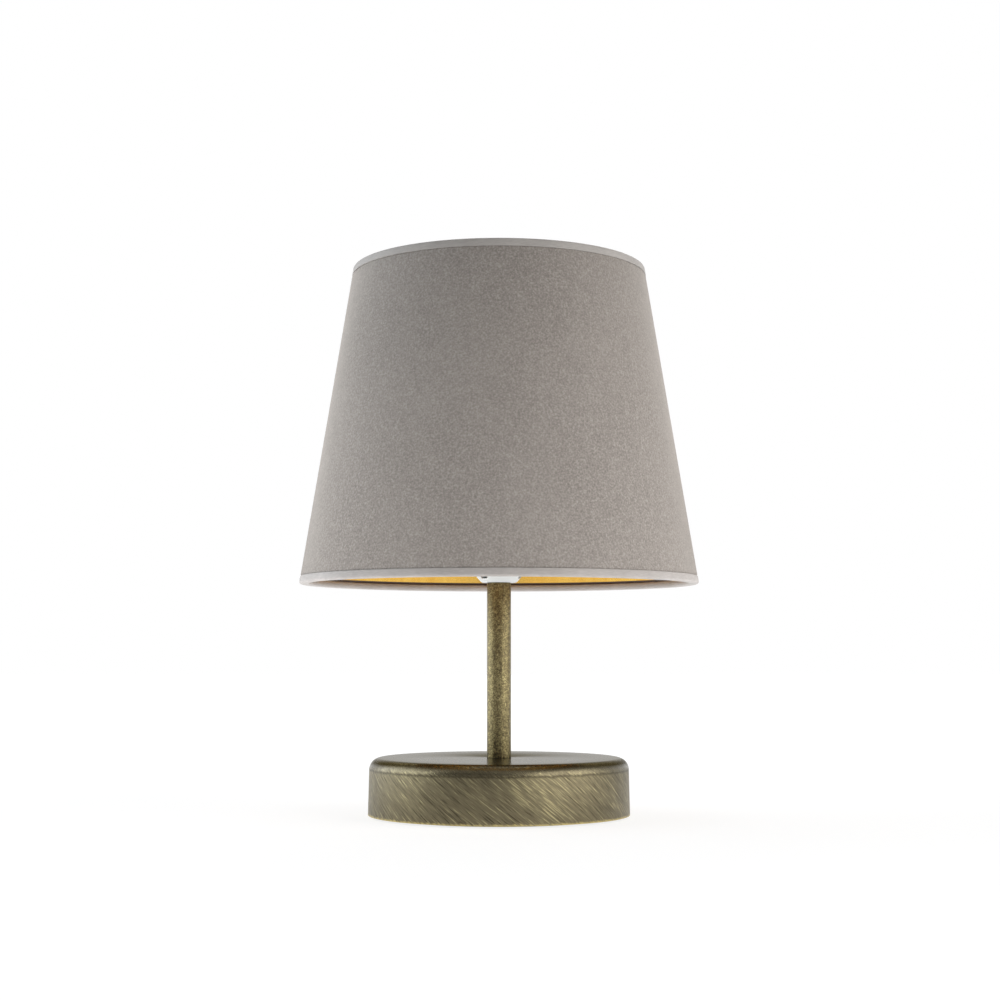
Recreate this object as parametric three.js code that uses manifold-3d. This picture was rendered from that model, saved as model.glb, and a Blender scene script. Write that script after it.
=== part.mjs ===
// A small table lamp: a conical velvet shade on a slim brass-finished stem, over a weighted round base.
// Units are millimetres and +Z is up. The origin is the middle of the underside, on the table.

import * as THREE from "three";
import { mergeVertices } from "three/addons/utils/BufferGeometryUtils.js";
import Module from "manifold-3d";

const wasm = await Module();
wasm.setup();

// Clearances
const FIT = 0.3; // between two pieces that are pushed together
const LOOSE = 0.6; // round a piece that drops into its place
const HAIR = 0.03; // under a piece that rests on its neighbour

// Base: a drawn cover over a cast ballast disc, closed by a screwed plate with a felt pad
const BASE_RADIUS = 65;
const BASE_HEIGHT = 28;
const BASE_EDGE = 5.5; // radius of the rounded top edge
const BASE_DRAFT = 0.6; // how much narrower the wall is at its top
const BASE_WALL = 1.2;
const PAD_MARGIN = 4.2; // from the pad's edge to the bottom plate's
const PAD_THICKNESS = 1.8;
const PAD_PROUD = 0.8; // how far the pad stands out below the cover's rim
const PLATE_THICKNESS = 1.5;
const BALLAST_THICKNESS = 8;
const BALLAST_BEVEL = 1;
const BALLAST_GAP = 1.9; // from the disc to the cover's rounded edge

// Pillars that hold the bottom plate, and their countersunk screws
const PILLAR_COUNT = 3;
const PILLAR_INSET = 11; // from the ballast disc's edge
const PILLAR_ANGLE = 30; // degrees to the first pillar
const PILLAR_FLATS = 7;
const PILLAR_STUD_RADIUS = 2;
const PILLAR_STUD_LENGTH = 5;
const PLATE_SCREW_RADIUS = 1.5;
const PLATE_SCREW_LENGTH = 8;
const PLATE_SCREW_HEAD = 3;

// Rubber bush of the cable inlet, in the rear of the cover
const BUSH_BORE = 3.6;
const BUSH_WALL = 1;
const BUSH_FLANGE_WIDTH = 1.8;
const BUSH_LIP = 1.6;

// Stem: an outer tube clamped over a hollow threaded tube
const STEM_RADIUS = 6;
const STEM_WALL = 0.8;
const STEM_LENGTH = 87;
const THREAD_TUBE_WALL = 1.1;
const THREAD_TUBE_TAIL = 2; // how far it stands out below its nut
const WASHER_RADIUS = 10;
const WASHER_THICKNESS = 1.2;
const STAR_WASHER_RADIUS = 8.6;
const STAR_WASHER_ROOT = 7;
const STAR_WASHER_TEETH = 12;
const STAR_WASHER_THICKNESS = 0.8;
const NUT_FLATS = 14;
const NUT_HEIGHT = 4.5;

// Bulb: candle shape, with the cap that sets the lampholder's size
const BULB_LENGTH = 100;
const BULB_RADIUS = 17.5;
const BULB_WALL = 1.2;
const BULB_CAP_RADIUS = 13;
const BULB_CAP_TOP = 27;
const BULB_CAP_SHOULDER = 3; // height of the cap's cone over the insulator
const BULB_CAP_ROUND = 0.8;
const BULB_TIP_RADIUS = 4;
const BULB_TIP_HEIGHT = 1.2;
const BULB_INSULATOR_RADIUS = 8.4;
const BULB_INSULATOR_HEIGHT = 2;
const BULB_NECK_FLARE = 0.6;
const BULB_NECK_HEIGHT = 5;
const BULB_HOUSING_HEIGHT = 17;
const BULB_HOUSING_BAND = 1.5; // upright band at the housing's top
const BULB_SHOULDER = 4; // upright stretch of the globe over the housing
const BULB_TAPER = 0.8; // lower is a blunter globe

// Lampholder, white plastic: a domed cap, a contact block, and a sleeve with the shade's seat
const HOLDER_WALL = 2;
const CAP_FOOT_RADIUS = 8.7;
const CAP_CONE_HEIGHT = 11;
const CAP_ROUND = 0.8; // how far the shoulder is eased in
const CAP_HEIGHT = 24;
const CAP_FLOOR = 1.6;
const CAP_BOSS_WALL = 2;
const CAP_BOSS_HEIGHT = 9;
const CAP_LEDGE = 16.2; // height of the ledge that carries the contact block
const CAP_WINDOWS = 3;
const CAP_WINDOW_ANGLE = 106; // degrees to the first window, which gives access to the grub screw
const CAP_WINDOW_WIDTH = 5;
const CAP_WINDOW_HEIGHT = 4.4;
const CAP_WINDOW_SILL = 1.9;
const GRUB_SCREW_RADIUS = 1.4;
const GRUB_SCREW_DROP = 4.5; // below the boss's top
const SEAT_HEIGHT = 29; // the shade's seat above the holder's foot
const SEAT_WIDTH = 4.3;
const SEAT_THICKNESS = 2.5;
const SLEEVE_TOP = 59;
const SLEEVE_ROUND = 1;
const SLEEVE_LIP_GAP = 1.2; // round the bulb's neck
const SPIGOT_LENGTH = 4;
const BLOCK_FLANGE_THICKNESS = 3.2;
const BLOCK_TOP = 25; // the contact block's upper face above the holder's foot
const BLOCK_DEPTH = 5; // how far the block reaches below its flange
const BLOCK_STEP = 0.5; // how much narrower it is above its flange
const SHELL_CLEARANCE = 0.4; // round the bulb's cap
const SHELL_WALL = 0.4;
const SHELL_GAP = 3.4; // from the screw shell to the sleeve
const SHELL_HEIGHT = 25;
const SHELL_FLANGE_WIDTH = 4.4;
const CONTACT_THICKNESS = 0.5;
const CONTACT_WIDTH = 5;
const CONTACT_REACH = 8;
const CONTACT_RISE = 3;
const CONTACT_TAB = 1.6;
const CONTACT_PAD = 2.6; // half the length of its level top
const TERMINAL_OFFSET = 7; // from the axis to each terminal of the contact block
const TERMINAL_SCREW_RADIUS = 1.6;
const TERMINAL_SCREW_LENGTH = 7;

// Round nut that clamps the shade on its seat
const RING_OVERHANG = 1; // past the carrier's edge
const RING_FLANGE_THICKNESS = 2.6;
const RING_WALL = 3.5;
const RING_HEIGHT = 9;
const RING_FILLET = 1;
const RING_ROUND = 0.6;
const RING_NOTCHES = 12;
const RING_NOTCH_RADIUS = 1.6;
const RING_NOTCH_DEPTH = 1;

// Shade: velvet laminated on a gold liner, with a wire ring and a cloth trim at each end
const SHADE_BOTTOM_RADIUS = 100;
const SHADE_TOP_RADIUS = 74;
const SHADE_HEIGHT = 160;
const CARRIER_RISE = 30; // the carrier's underside above the shade's lower edge
const FABRIC_WALL = 0.8;
const LINER_WALL = 0.6;
const TRIM_WALL = 0.5;
const TRIM_WIDTH = 3.9;
const TRIM_ROUND = 1.1; // of the trim's outer edge
const TRIM_ROLL_END = 120; // degrees round the wire where the trim ends
const RING_WIRE_RADIUS = 0.95;
const CARRIER_GAP = 2.3; // round the lampholder's sleeve
const CARRIER_WIDTH = 5.5;
const CARRIER_THICKNESS = 1.5;
const ARM_COUNT = 3;
const ARM_ANGLE = 90; // degrees to the first arm, which points to the rear
const ARM_RADIUS = 1.4;

// Terminal strip and leads inside the base
const POLE_COUNT = 3;
const POLE_PITCH = 9;
const POLE_BORE = 1.9;
const POLE_TUBE_WALL = 0.6;
const POLE_RECESS = 1; // of the brass tube at each end
const STRIP_MARGIN = 0.5;
const STRIP_DEPTH = 18;
const STRIP_HEIGHT = 12.5;
const STRIP_CORNER = 1.5;
const STRIP_GROOVE = 1; // width of the grooves between the poles
const STRIP_EDGE_GAP = 12; // from the strip's far face to the ballast disc's edge
const STRIP_ENTRY = 4.5; // wire height above the strip's lower face
const STRIP_SCREW_RADIUS = 1.6;
const SCREW_GRIP = 6; // how deep a screw bites into the ballast disc
const SCREW_SLOT = 0.8;
const LEAD_RADIUS = 1.1;
const LEAD_SPACING = 1.4; // from the axis to each lead inside the stem
const LEAD_ENTRY = 6; // how far a lead reaches into the strip
const LUG_X = -24;
const LUG_Y = 8;
const LUG_RADIUS = 4.4;
const LUG_THICKNESS = 0.8;
const LUG_BARREL_LENGTH = 6;
const LUG_BARREL_WALL = 0.6;
const LUG_LAP = 1; // of the barrel over the eye
const EARTH_SCREW_RADIUS = 1.9;
const EARTH_SCREW_HEAD_RADIUS = 3.8;
const EARTH_SCREW_HEAD_HEIGHT = 2.4;

// Facets
const BASE_SIDES = 40;
const SHADE_SIDES = 40;
const HOLDER_SIDES = 24;
const SMALL_SIDES = 12;
const TINY_SIDES = 8;
const WIRE_SIDES = 6;
const EDGE_STEPS = 4;
const ROLL_STEPS = 3;
const GLOBE_STEPS = 5;

// Radii worked out from the sizes
const plateRadius = BASE_RADIUS - BASE_WALL - LOOSE;
const padRadius = plateRadius - PAD_MARGIN;
const ballastRadius = BASE_RADIUS - BASE_DRAFT - BASE_EDGE - BALLAST_GAP;
const threadTubeRadius = STEM_RADIUS - STEM_WALL - FIT;
const tubeHole = threadTubeRadius + FIT; // in every piece that the threaded tube passes through
const stripFront = ballastRadius - STRIP_EDGE_GAP - STRIP_DEPTH; // the strip's near face, from the axis
const bossRadius = tubeHole + CAP_BOSS_WALL;
const bulbNeckRadius = BULB_CAP_RADIUS + BULB_NECK_FLARE;
const shellBore = BULB_CAP_RADIUS + SHELL_CLEARANCE;
const holderBore = shellBore + SHELL_WALL + SHELL_GAP;
const holderRadius = holderBore + HOLDER_WALL;
const ledgeBore = holderBore - HOLDER_WALL;
const seatRadius = holderRadius + SEAT_WIDTH;
const carrierBore = holderRadius + CARRIER_GAP;
const carrierRadius = carrierBore + CARRIER_WIDTH;
const poleTubeRadius = POLE_BORE + POLE_TUBE_WALL;
const lugBarrelRadius = LEAD_RADIUS + FIT + LUG_BARREL_WALL;

// Heights above the table, worked out from the sizes
const rimZ = PAD_PROUD;
const coverTopZ = rimZ + BASE_HEIGHT;
const plateZ = PAD_THICKNESS;
const plateTopZ = plateZ + PLATE_THICKNESS;
const ballastZ = coverTopZ - BASE_WALL - BALLAST_THICKNESS;
const washerZ = ballastZ - WASHER_THICKNESS;
const starWasherZ = washerZ - STAR_WASHER_THICKNESS;
const nutZ = starWasherZ - NUT_HEIGHT;
const inletZ = (plateTopZ + ballastZ) / 2;
const stripZ = ballastZ - STRIP_HEIGHT;
const entryZ = stripZ + STRIP_ENTRY;
const holderZ = coverTopZ + STEM_LENGTH;
const seatZ = holderZ + SEAT_HEIGHT;
const shadeZ = seatZ - CARRIER_RISE;
const bulbZ = holderZ + BLOCK_TOP + SHELL_WALL + CONTACT_RISE + CONTACT_THICKNESS + FIT;
const threadTubeZ = nutZ - THREAD_TUBE_TAIL;
const threadTubeTopZ = holderZ + CAP_BOSS_HEIGHT - FIT;

const degrees = THREE.MathUtils.degToRad;

// Colours and surfaces
const FINISHES = {
  patina: { color: 0x77705a, metalness: 0.85, roughness: 0.42 },
  steel: { color: 0xb4b6b8, metalness: 0.9, roughness: 0.4 },
  iron: { color: 0x3d3e40, metalness: 0.6, roughness: 0.6 },
  brass: { color: 0xc9a24f, metalness: 1, roughness: 0.3 },
  felt: { color: 0x2b2a2a, metalness: 0, roughness: 0.95 },
  rubber: { color: 0x1c1c1d, metalness: 0, roughness: 0.7 },
  whitePlastic: { color: 0xf0f0ec, metalness: 0, roughness: 0.35 },
  whitePaint: { color: 0xededea, metalness: 0.1, roughness: 0.4 },
  opal: { color: 0xf7f5ee, metalness: 0, roughness: 0.25 },
  blackGlass: { color: 0x15151a, metalness: 0, roughness: 0.2 },
  velvet: { color: 0x9a918c, metalness: 0, roughness: 0.9 },
  trim: { color: 0xa8a29c, metalness: 0, roughness: 0.75 },
  gold: { color: 0xd9a53c, metalness: 0.7, roughness: 0.35 },
  liveLead: { color: 0x6a3d22, metalness: 0, roughness: 0.5 },
  neutralLead: { color: 0x2f62a8, metalness: 0, roughness: 0.5 },
  earthLead: { color: 0x7d9a2c, metalness: 0, roughness: 0.5 },
};

function piece(name, geometry, finish, x = 0, y = 0, z = 0) {
  const mesh = new THREE.Mesh(geometry, new THREE.MeshStandardMaterial(FINISHES[finish]));
  mesh.name = name;
  mesh.position.set(x, y, z);
  return mesh;
}

function group(...members) {
  const made = new THREE.Group();
  made.add(...members);
  return made;
}

// Shapes

// Points on an arc of a profile, from one angle to another in degrees.
function arc(centreR, centreZ, radius, from, to, steps) {
  return Array.from({ length: steps + 1 }, (_, i) => {
    const angle = degrees(from + ((to - from) * i) / steps);
    return [centreR + radius * Math.cos(angle), centreZ + radius * Math.sin(angle)];
  });
}

// A solid of revolution about Z. The profile goes up its outer side, and ends on the axis or closes.
function turned(profile, sides) {
  const points = profile.map(([r, z]) => new THREE.Vector2(r, z));
  const onAxis = points[0].x === 0 && points.at(-1).x === 0;
  if (!onAxis) points.push(points[0].clone());
  return new THREE.LatheGeometry(points, sides).rotateX(Math.PI / 2);
}

function tube(bore, radius, bottom, top, sides) {
  return turned([[bore, bottom], [radius, bottom], [radius, top], [bore, top]], sides);
}

function rod(radius, bottom, top, sides) {
  return turned([[0, bottom], [radius, bottom], [radius, top], [0, top]], sides);
}

// The same, pointing along +Y or +X.
function alongY(geometry) {
  return geometry.rotateX(-Math.PI / 2);
}

function alongX(geometry) {
  return geometry.rotateY(Math.PI / 2);
}

// A hexagonal bar measured across its flats.
function hexBar(flats, bottom, top) {
  return rod(flats / Math.sqrt(3), bottom, top, 6);
}

function slab(outline, thickness) {
  return new THREE.ExtrudeGeometry(outline, { depth: thickness, bevelEnabled: false });
}

// A round wire or lead along a curve.
function wireAlong(curve, radius, steps) {
  const section = new THREE.Shape(
    around(WIRE_SIDES, 0, (angle) => new THREE.Vector2(radius * Math.cos(angle), radius * Math.sin(angle))),
  );
  return new THREE.ExtrudeGeometry(section, { extrudePath: curve, steps });
}

function smoothPath(points) {
  const places = points.map((point) => new THREE.Vector3(...point));
  return new THREE.CatmullRomCurve3(places, false, "centripetal");
}

function around(count, firstAngle, make) {
  return Array.from({ length: count }, (_, i) => make(degrees(firstAngle + (360 * i) / count), i));
}

// Cutting and joining

function toManifold(geometry) {
  const loose = geometry.index ? geometry.toNonIndexed() : geometry;
  const bare = new THREE.BufferGeometry().setAttribute("position", loose.getAttribute("position"));
  const merged = mergeVertices(bare, 1e-4);
  return new wasm.Manifold(
    new wasm.Mesh({
      numProp: 3,
      vertProperties: merged.attributes.position.array,
      triVerts: merged.index.array,
    }),
  );
}

function toGeometry(manifold) {
  const mesh = manifold.getMesh();
  const geometry = new THREE.BufferGeometry()
    .setAttribute("position", new THREE.BufferAttribute(mesh.vertProperties, 3))
    .setIndex(new THREE.BufferAttribute(mesh.triVerts, 1));
  geometry.computeVertexNormals();
  return geometry;
}

function carve(body, cutters) {
  return toGeometry(cutters.reduce((left, cutter) => left.subtract(toManifold(cutter)), toManifold(body)));
}

function weld(bodies) {
  return toGeometry(bodies.map(toManifold).reduce((joined, body) => joined.add(body)));
}

// Base

// The cover's outer radius at a height above its rim, below the rounded edge.
function coverRadiusAt(height) {
  return BASE_RADIUS - (BASE_DRAFT * height) / (BASE_HEIGHT - BASE_EDGE);
}

function baseCover() {
  const edgeZ = BASE_HEIGHT - BASE_EDGE;
  const edgeR = BASE_RADIUS - BASE_DRAFT - BASE_EDGE;
  const shell = turned(
    [
      [BASE_RADIUS - BASE_WALL, 0],
      [BASE_RADIUS, 0],
      ...arc(edgeR, edgeZ, BASE_EDGE, 0, 90, EDGE_STEPS),
      [tubeHole, BASE_HEIGHT],
      [tubeHole, BASE_HEIGHT - BASE_WALL],
      ...arc(edgeR, edgeZ, BASE_EDGE - BASE_WALL, 90, 0, EDGE_STEPS / 2),
    ],
    BASE_SIDES,
  );
  const margin = BASE_WALL + BUSH_LIP;
  const hole = rod(BUSH_BORE + BUSH_WALL + FIT, -margin, margin, SMALL_SIDES);
  return carve(shell, [alongY(hole).translate(0, BASE_RADIUS, inletZ - rimZ)]);
}

function inletBush() {
  const neck = BUSH_BORE + BUSH_WALL;
  const flange = neck + BUSH_FLANGE_WIDTH;
  const innerWall = coverRadiusAt(inletZ - rimZ) - BASE_WALL;
  const innerFace = Math.sqrt(innerWall ** 2 - flange ** 2) - FIT;
  const outerFace = BASE_RADIUS + FIT / 2;
  const bush = turned(
    [
      [BUSH_BORE, innerFace - BUSH_LIP],
      [flange, innerFace - BUSH_LIP],
      [flange, innerFace],
      [neck, innerFace],
      [neck, outerFace],
      [flange, outerFace],
      [flange - BUSH_LIP / 2, outerFace + BUSH_LIP],
      [BUSH_BORE, outerFace + BUSH_LIP],
    ],
    SMALL_SIDES,
  );
  return alongY(bush);
}

function pillarPlaces() {
  const radius = ballastRadius - PILLAR_INSET;
  return around(PILLAR_COUNT, PILLAR_ANGLE, (angle) => [radius * Math.cos(angle), radius * Math.sin(angle)]);
}

function stripScrewPlace() {
  return [POLE_PITCH / 2, stripFront + STRIP_DEPTH / 2];
}

function ballastDisc() {
  const disc = turned(
    [
      [tubeHole, 0],
      [ballastRadius - BALLAST_BEVEL, 0],
      [ballastRadius, BALLAST_BEVEL],
      [ballastRadius, BALLAST_THICKNESS],
      [tubeHole, BALLAST_THICKNESS],
    ],
    BASE_SIDES,
  );
  const tapped = (radius, depth, [x, y]) =>
    rod(radius + FIT, -1, depth + FIT, TINY_SIDES).translate(x, y, 0);
  return carve(disc, [
    ...pillarPlaces().map((place) => tapped(PILLAR_STUD_RADIUS, PILLAR_STUD_LENGTH, place)),
    tapped(EARTH_SCREW_RADIUS, SCREW_GRIP, [LUG_X, LUG_Y]),
    tapped(STRIP_SCREW_RADIUS, SCREW_GRIP, stripScrewPlace()),
  ]);
}

function pillar() {
  const length = ballastZ - plateTopZ;
  const bar = hexBar(PILLAR_FLATS, 0, length);
  const stud = rod(PILLAR_STUD_RADIUS, length - FIT, length + PILLAR_STUD_LENGTH, TINY_SIDES);
  const thread = rod(PLATE_SCREW_RADIUS + FIT, -1, PLATE_SCREW_LENGTH - PLATE_THICKNESS + FIT, TINY_SIDES);
  return carve(weld([bar, stud]), [thread]);
}

// A countersunk screw that points up, with its head's face at zero.
function plateScrew(clearance = 0) {
  const shank = PLATE_SCREW_RADIUS + clearance;
  const profile = [
    [0, 0],
    [PLATE_SCREW_HEAD + clearance, 0],
    [shank, PLATE_THICKNESS - FIT],
    [shank, PLATE_SCREW_LENGTH],
    [0, PLATE_SCREW_LENGTH],
  ];
  return turned(profile, TINY_SIDES);
}

function bottomPlate() {
  const disc = rod(plateRadius, 0, PLATE_THICKNESS, BASE_SIDES);
  return carve(disc, pillarPlaces().map(([x, y]) => plateScrew(FIT).translate(x, y, -HAIR)));
}

function makeBase() {
  const places = pillarPlaces();
  return group(
    piece("base_cover", baseCover(), "patina", 0, 0, rimZ),
    piece("cable_inlet_bush", inletBush(), "rubber", 0, 0, inletZ),
    piece("ballast_disc", ballastDisc(), "iron", 0, 0, ballastZ),
    ...places.map(([x, y], i) => piece(`pillar_${i + 1}`, pillar(), "steel", x, y, plateTopZ)),
    piece("bottom_plate", bottomPlate(), "iron", 0, 0, plateZ),
    ...places.map(([x, y], i) => piece(`plate_screw_${i + 1}`, plateScrew(), "steel", x, y, plateZ)),
    piece("felt_pad", rod(padRadius, 0, PAD_THICKNESS, BASE_SIDES), "felt"),
  );
}

// Stem and its clamp

function starWasher() {
  const outline = new THREE.Shape(
    around(STAR_WASHER_TEETH * 4, 0, (angle, i) => {
      const radius = i % 4 < 2 ? STAR_WASHER_RADIUS : STAR_WASHER_ROOT;
      return new THREE.Vector2(radius * Math.cos(angle), radius * Math.sin(angle));
    }),
  );
  outline.holes.push(new THREE.Path().absarc(0, 0, tubeHole, 0, 2 * Math.PI, true));
  return slab(outline, STAR_WASHER_THICKNESS);
}

function clampNut() {
  return carve(hexBar(NUT_FLATS, 0, NUT_HEIGHT), [rod(tubeHole, -1, NUT_HEIGHT + 1, SMALL_SIDES)]);
}

function makeStem() {
  const stemTube = tube(STEM_RADIUS - STEM_WALL, STEM_RADIUS, 0, STEM_LENGTH, HOLDER_SIDES);
  const washer = tube(tubeHole, WASHER_RADIUS, 0, WASHER_THICKNESS, SMALL_SIDES);
  const threadTubeBore = threadTubeRadius - THREAD_TUBE_WALL;
  const threadTube = tube(threadTubeBore, threadTubeRadius, threadTubeZ, threadTubeTopZ, SMALL_SIDES);
  return group(
    piece("stem_tube", stemTube, "patina", 0, 0, coverTopZ),
    piece("threaded_tube", threadTube, "steel"),
    piece("clamp_washer", washer, "steel", 0, 0, washerZ),
    piece("star_washer", starWasher(), "steel", 0, 0, starWasherZ),
    piece("clamp_nut", clampNut(), "steel", 0, 0, nutZ),
  );
}

// Terminal strip, earth lug and leads

function poles(make) {
  return Array.from({ length: POLE_COUNT }, (_, i) => make((i - (POLE_COUNT - 1) / 2) * POLE_PITCH, i));
}

// The two screws of one pole, as distances behind the strip's near face.
const poleScrews = { front: STRIP_DEPTH / 4, rear: (3 * STRIP_DEPTH) / 4 };

// A short screw that points up, with a slot across its lower face.
function slottedScrew(radius, length) {
  return carve(rod(radius, 0, length, TINY_SIDES), [new THREE.BoxGeometry(3 * radius, SCREW_SLOT, SCREW_SLOT)]);
}

function terminalStrip() {
  const edge = (POLE_COUNT * POLE_PITCH) / 2 + STRIP_MARGIN;
  const outline = new THREE.Shape()
    .moveTo(-edge + STRIP_CORNER, 0)
    .lineTo(edge - STRIP_CORNER, 0)
    .lineTo(edge, STRIP_CORNER)
    .lineTo(edge, STRIP_HEIGHT)
    .lineTo(-edge, STRIP_HEIGHT)
    .lineTo(-edge, STRIP_CORNER);
  const body = slab(outline, STRIP_DEPTH).rotateX(Math.PI / 2).translate(0, STRIP_DEPTH, 0);
  const tunnels = poles((x) =>
    alongY(rod(poleTubeRadius + FIT, -1, STRIP_DEPTH + 1, TINY_SIDES)).translate(x, 0, STRIP_ENTRY),
  );
  const wells = poles((x) =>
    Object.values(poleScrews).map((y) =>
      rod(STRIP_SCREW_RADIUS + FIT, -1, STRIP_ENTRY, TINY_SIDES).translate(x, y, 0),
    ),
  );
  const grooves = [-1, 1].map((side) =>
    new THREE.BoxGeometry(STRIP_GROOVE, STRIP_DEPTH + 2, 2 * STRIP_CORNER)
      .translate((side * POLE_PITCH) / 2, STRIP_DEPTH / 2, 0),
  );
  const [screwX, screwY] = stripScrewPlace();
  const mounting = rod(STRIP_SCREW_RADIUS + FIT, -1, STRIP_HEIGHT + 1, TINY_SIDES)
    .translate(screwX, screwY - stripFront, 0);
  return carve(body, [...tunnels, ...wells.flat(), ...grooves, mounting]);
}

// The brass tube of one pole, lying along the strip, with a tapped hole for each of its screws.
function poleTube() {
  const body = tube(POLE_BORE, poleTubeRadius, POLE_RECESS, STRIP_DEPTH - POLE_RECESS, TINY_SIDES);
  const taps = Object.values(poleScrews).map((y) =>
    rod(STRIP_SCREW_RADIUS + FIT, -poleTubeRadius - 1, 0, TINY_SIDES).translate(0, y, 0),
  );
  return carve(alongY(body), taps);
}

// A screw that points up, with a domed head and a crossed slot.
function panHeadScrew(radius, length, headRadius, headHeight) {
  const dome = headHeight / 3;
  const body = turned(
    [
      [0, 0],
      [headRadius - dome, 0],
      [headRadius, dome],
      [headRadius, headHeight],
      [radius, headHeight],
      [radius, headHeight + length],
      [0, headHeight + length],
    ],
    SMALL_SIDES,
  );
  const slots = [0, Math.PI / 2].map((turn) =>
    new THREE.BoxGeometry(headRadius, SCREW_SLOT, 2 * dome).rotateZ(turn),
  );
  return carve(body, slots);
}

// A ring terminal: an eye, and a barrel that grips the lead and points along +X.
function earthLug() {
  const neckAngle = Math.asin(lugBarrelRadius / LUG_RADIUS);
  const neckEnd = LUG_RADIUS + lugBarrelRadius;
  const outline = new THREE.Shape()
    .absarc(0, 0, LUG_RADIUS, neckAngle, 2 * Math.PI - neckAngle)
    .lineTo(neckEnd, -lugBarrelRadius)
    .lineTo(neckEnd, lugBarrelRadius);
  outline.holes.push(new THREE.Path().absarc(0, 0, EARTH_SCREW_RADIUS + FIT, 0, 2 * Math.PI, true));
  const eye = new THREE.ExtrudeGeometry(outline, {
    depth: LUG_THICKNESS,
    bevelEnabled: false,
    curveSegments: TINY_SIDES,
  });
  const seated = (shape) => alongX(shape).translate(neckEnd - LUG_LAP, 0, LUG_THICKNESS - lugBarrelRadius);
  const barrel = seated(tube(LEAD_RADIUS + FIT, lugBarrelRadius, 0, LUG_BARREL_LENGTH, TINY_SIDES));
  const passage = seated(rod(LEAD_RADIUS + FIT, 0, LUG_BARREL_LENGTH, TINY_SIDES));
  return carve(weld([eye, barrel]), [passage]);
}

// The route of a lead from the contact block down the stem and on to its pole of the strip.
function stemLeadPath(side, poleX) {
  const x = side * LEAD_SPACING;
  const terminalX = side * TERMINAL_OFFSET;
  const blockZ = holderZ + CAP_LEDGE - BLOCK_DEPTH;
  const floorZ = plateTopZ + LEAD_RADIUS + LOOSE;
  return smoothPath([
    [terminalX, 0, blockZ + 3],
    [terminalX, 0, blockZ - 0.7],
    [x * 1.4, 0, threadTubeTopZ + 1],
    [x, 0, threadTubeTopZ - 6],
    [x, 0, holderZ - STEM_LENGTH / 2],
    [x, 0, coverTopZ],
    [x, 0, threadTubeZ + 4],
    [x, 0.6, threadTubeZ - 1],
    [x * 1.2, 3.4, floorZ + 1.4],
    [x * 0.6 + poleX * 0.3, stripFront / 3, floorZ],
    [x * 0.2 + poleX * 0.8, stripFront - 10, floorZ + 1.6],
    [poleX, stripFront - 4, entryZ],
    [poleX, stripFront + LEAD_ENTRY, entryZ],
  ]);
}

// The route of the lead from the earth lug to its pole of the strip.
function earthLeadPath(poleX) {
  const barrelZ = ballastZ - lugBarrelRadius;
  const barrelX = LUG_X + LUG_RADIUS + lugBarrelRadius - LUG_LAP;
  return smoothPath([
    [barrelX + 1, LUG_Y, barrelZ],
    [barrelX + LUG_BARREL_LENGTH + 1, LUG_Y, barrelZ],
    [poleX - 0.5, LUG_Y + 2.4, barrelZ - 0.8],
    [poleX + 1, stripFront - 11, entryZ + 2],
    [poleX, stripFront - 4, entryZ],
    [poleX, stripFront + LEAD_ENTRY, entryZ],
  ]);
}

function makeWiring() {
  const screwLength = STRIP_ENTRY - POLE_BORE + FIT;
  const tubes = poles((x, i) => piece(`pole_tube_${i + 1}`, poleTube(), "brass", x, stripFront, entryZ));
  const screws = poles((x, i) =>
    Object.entries(poleScrews).map(([end, y]) => {
      const screw = slottedScrew(STRIP_SCREW_RADIUS, screwLength);
      return piece(`pole_screw_${i + 1}_${end}`, screw, "steel", x, stripFront + y, stripZ);
    }),
  );
  const [screwX, screwY] = stripScrewPlace();
  const stripScrew = slottedScrew(STRIP_SCREW_RADIUS, STRIP_HEIGHT + SCREW_GRIP);
  const earthScrew = panHeadScrew(
    EARTH_SCREW_RADIUS,
    LUG_THICKNESS + SCREW_GRIP,
    EARTH_SCREW_HEAD_RADIUS,
    EARTH_SCREW_HEAD_HEIGHT,
  );
  const lugZ = ballastZ - LUG_THICKNESS;
  const [earthPole, neutralPole, livePole] = poles((x) => x);
  const lead = (name, path, finish, steps) => piece(name, wireAlong(path, LEAD_RADIUS, steps), finish);
  return group(
    piece("terminal_strip", terminalStrip(), "whitePlastic", 0, stripFront, stripZ),
    ...tubes,
    ...screws.flat(),
    piece("strip_screw", stripScrew, "steel", screwX, screwY, stripZ),
    piece("earth_lug", earthLug(), "brass", LUG_X, LUG_Y, lugZ),
    piece("earth_screw", earthScrew, "steel", LUG_X, LUG_Y, lugZ - EARTH_SCREW_HEAD_HEIGHT),
    lead("earth_lead", earthLeadPath(earthPole), "earthLead", 12),
    lead("neutral_lead", stemLeadPath(-1, neutralPole), "neutralLead", 36),
    lead("live_lead", stemLeadPath(1, livePole), "liveLead", 36),
  );
}

// Lampholder

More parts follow.
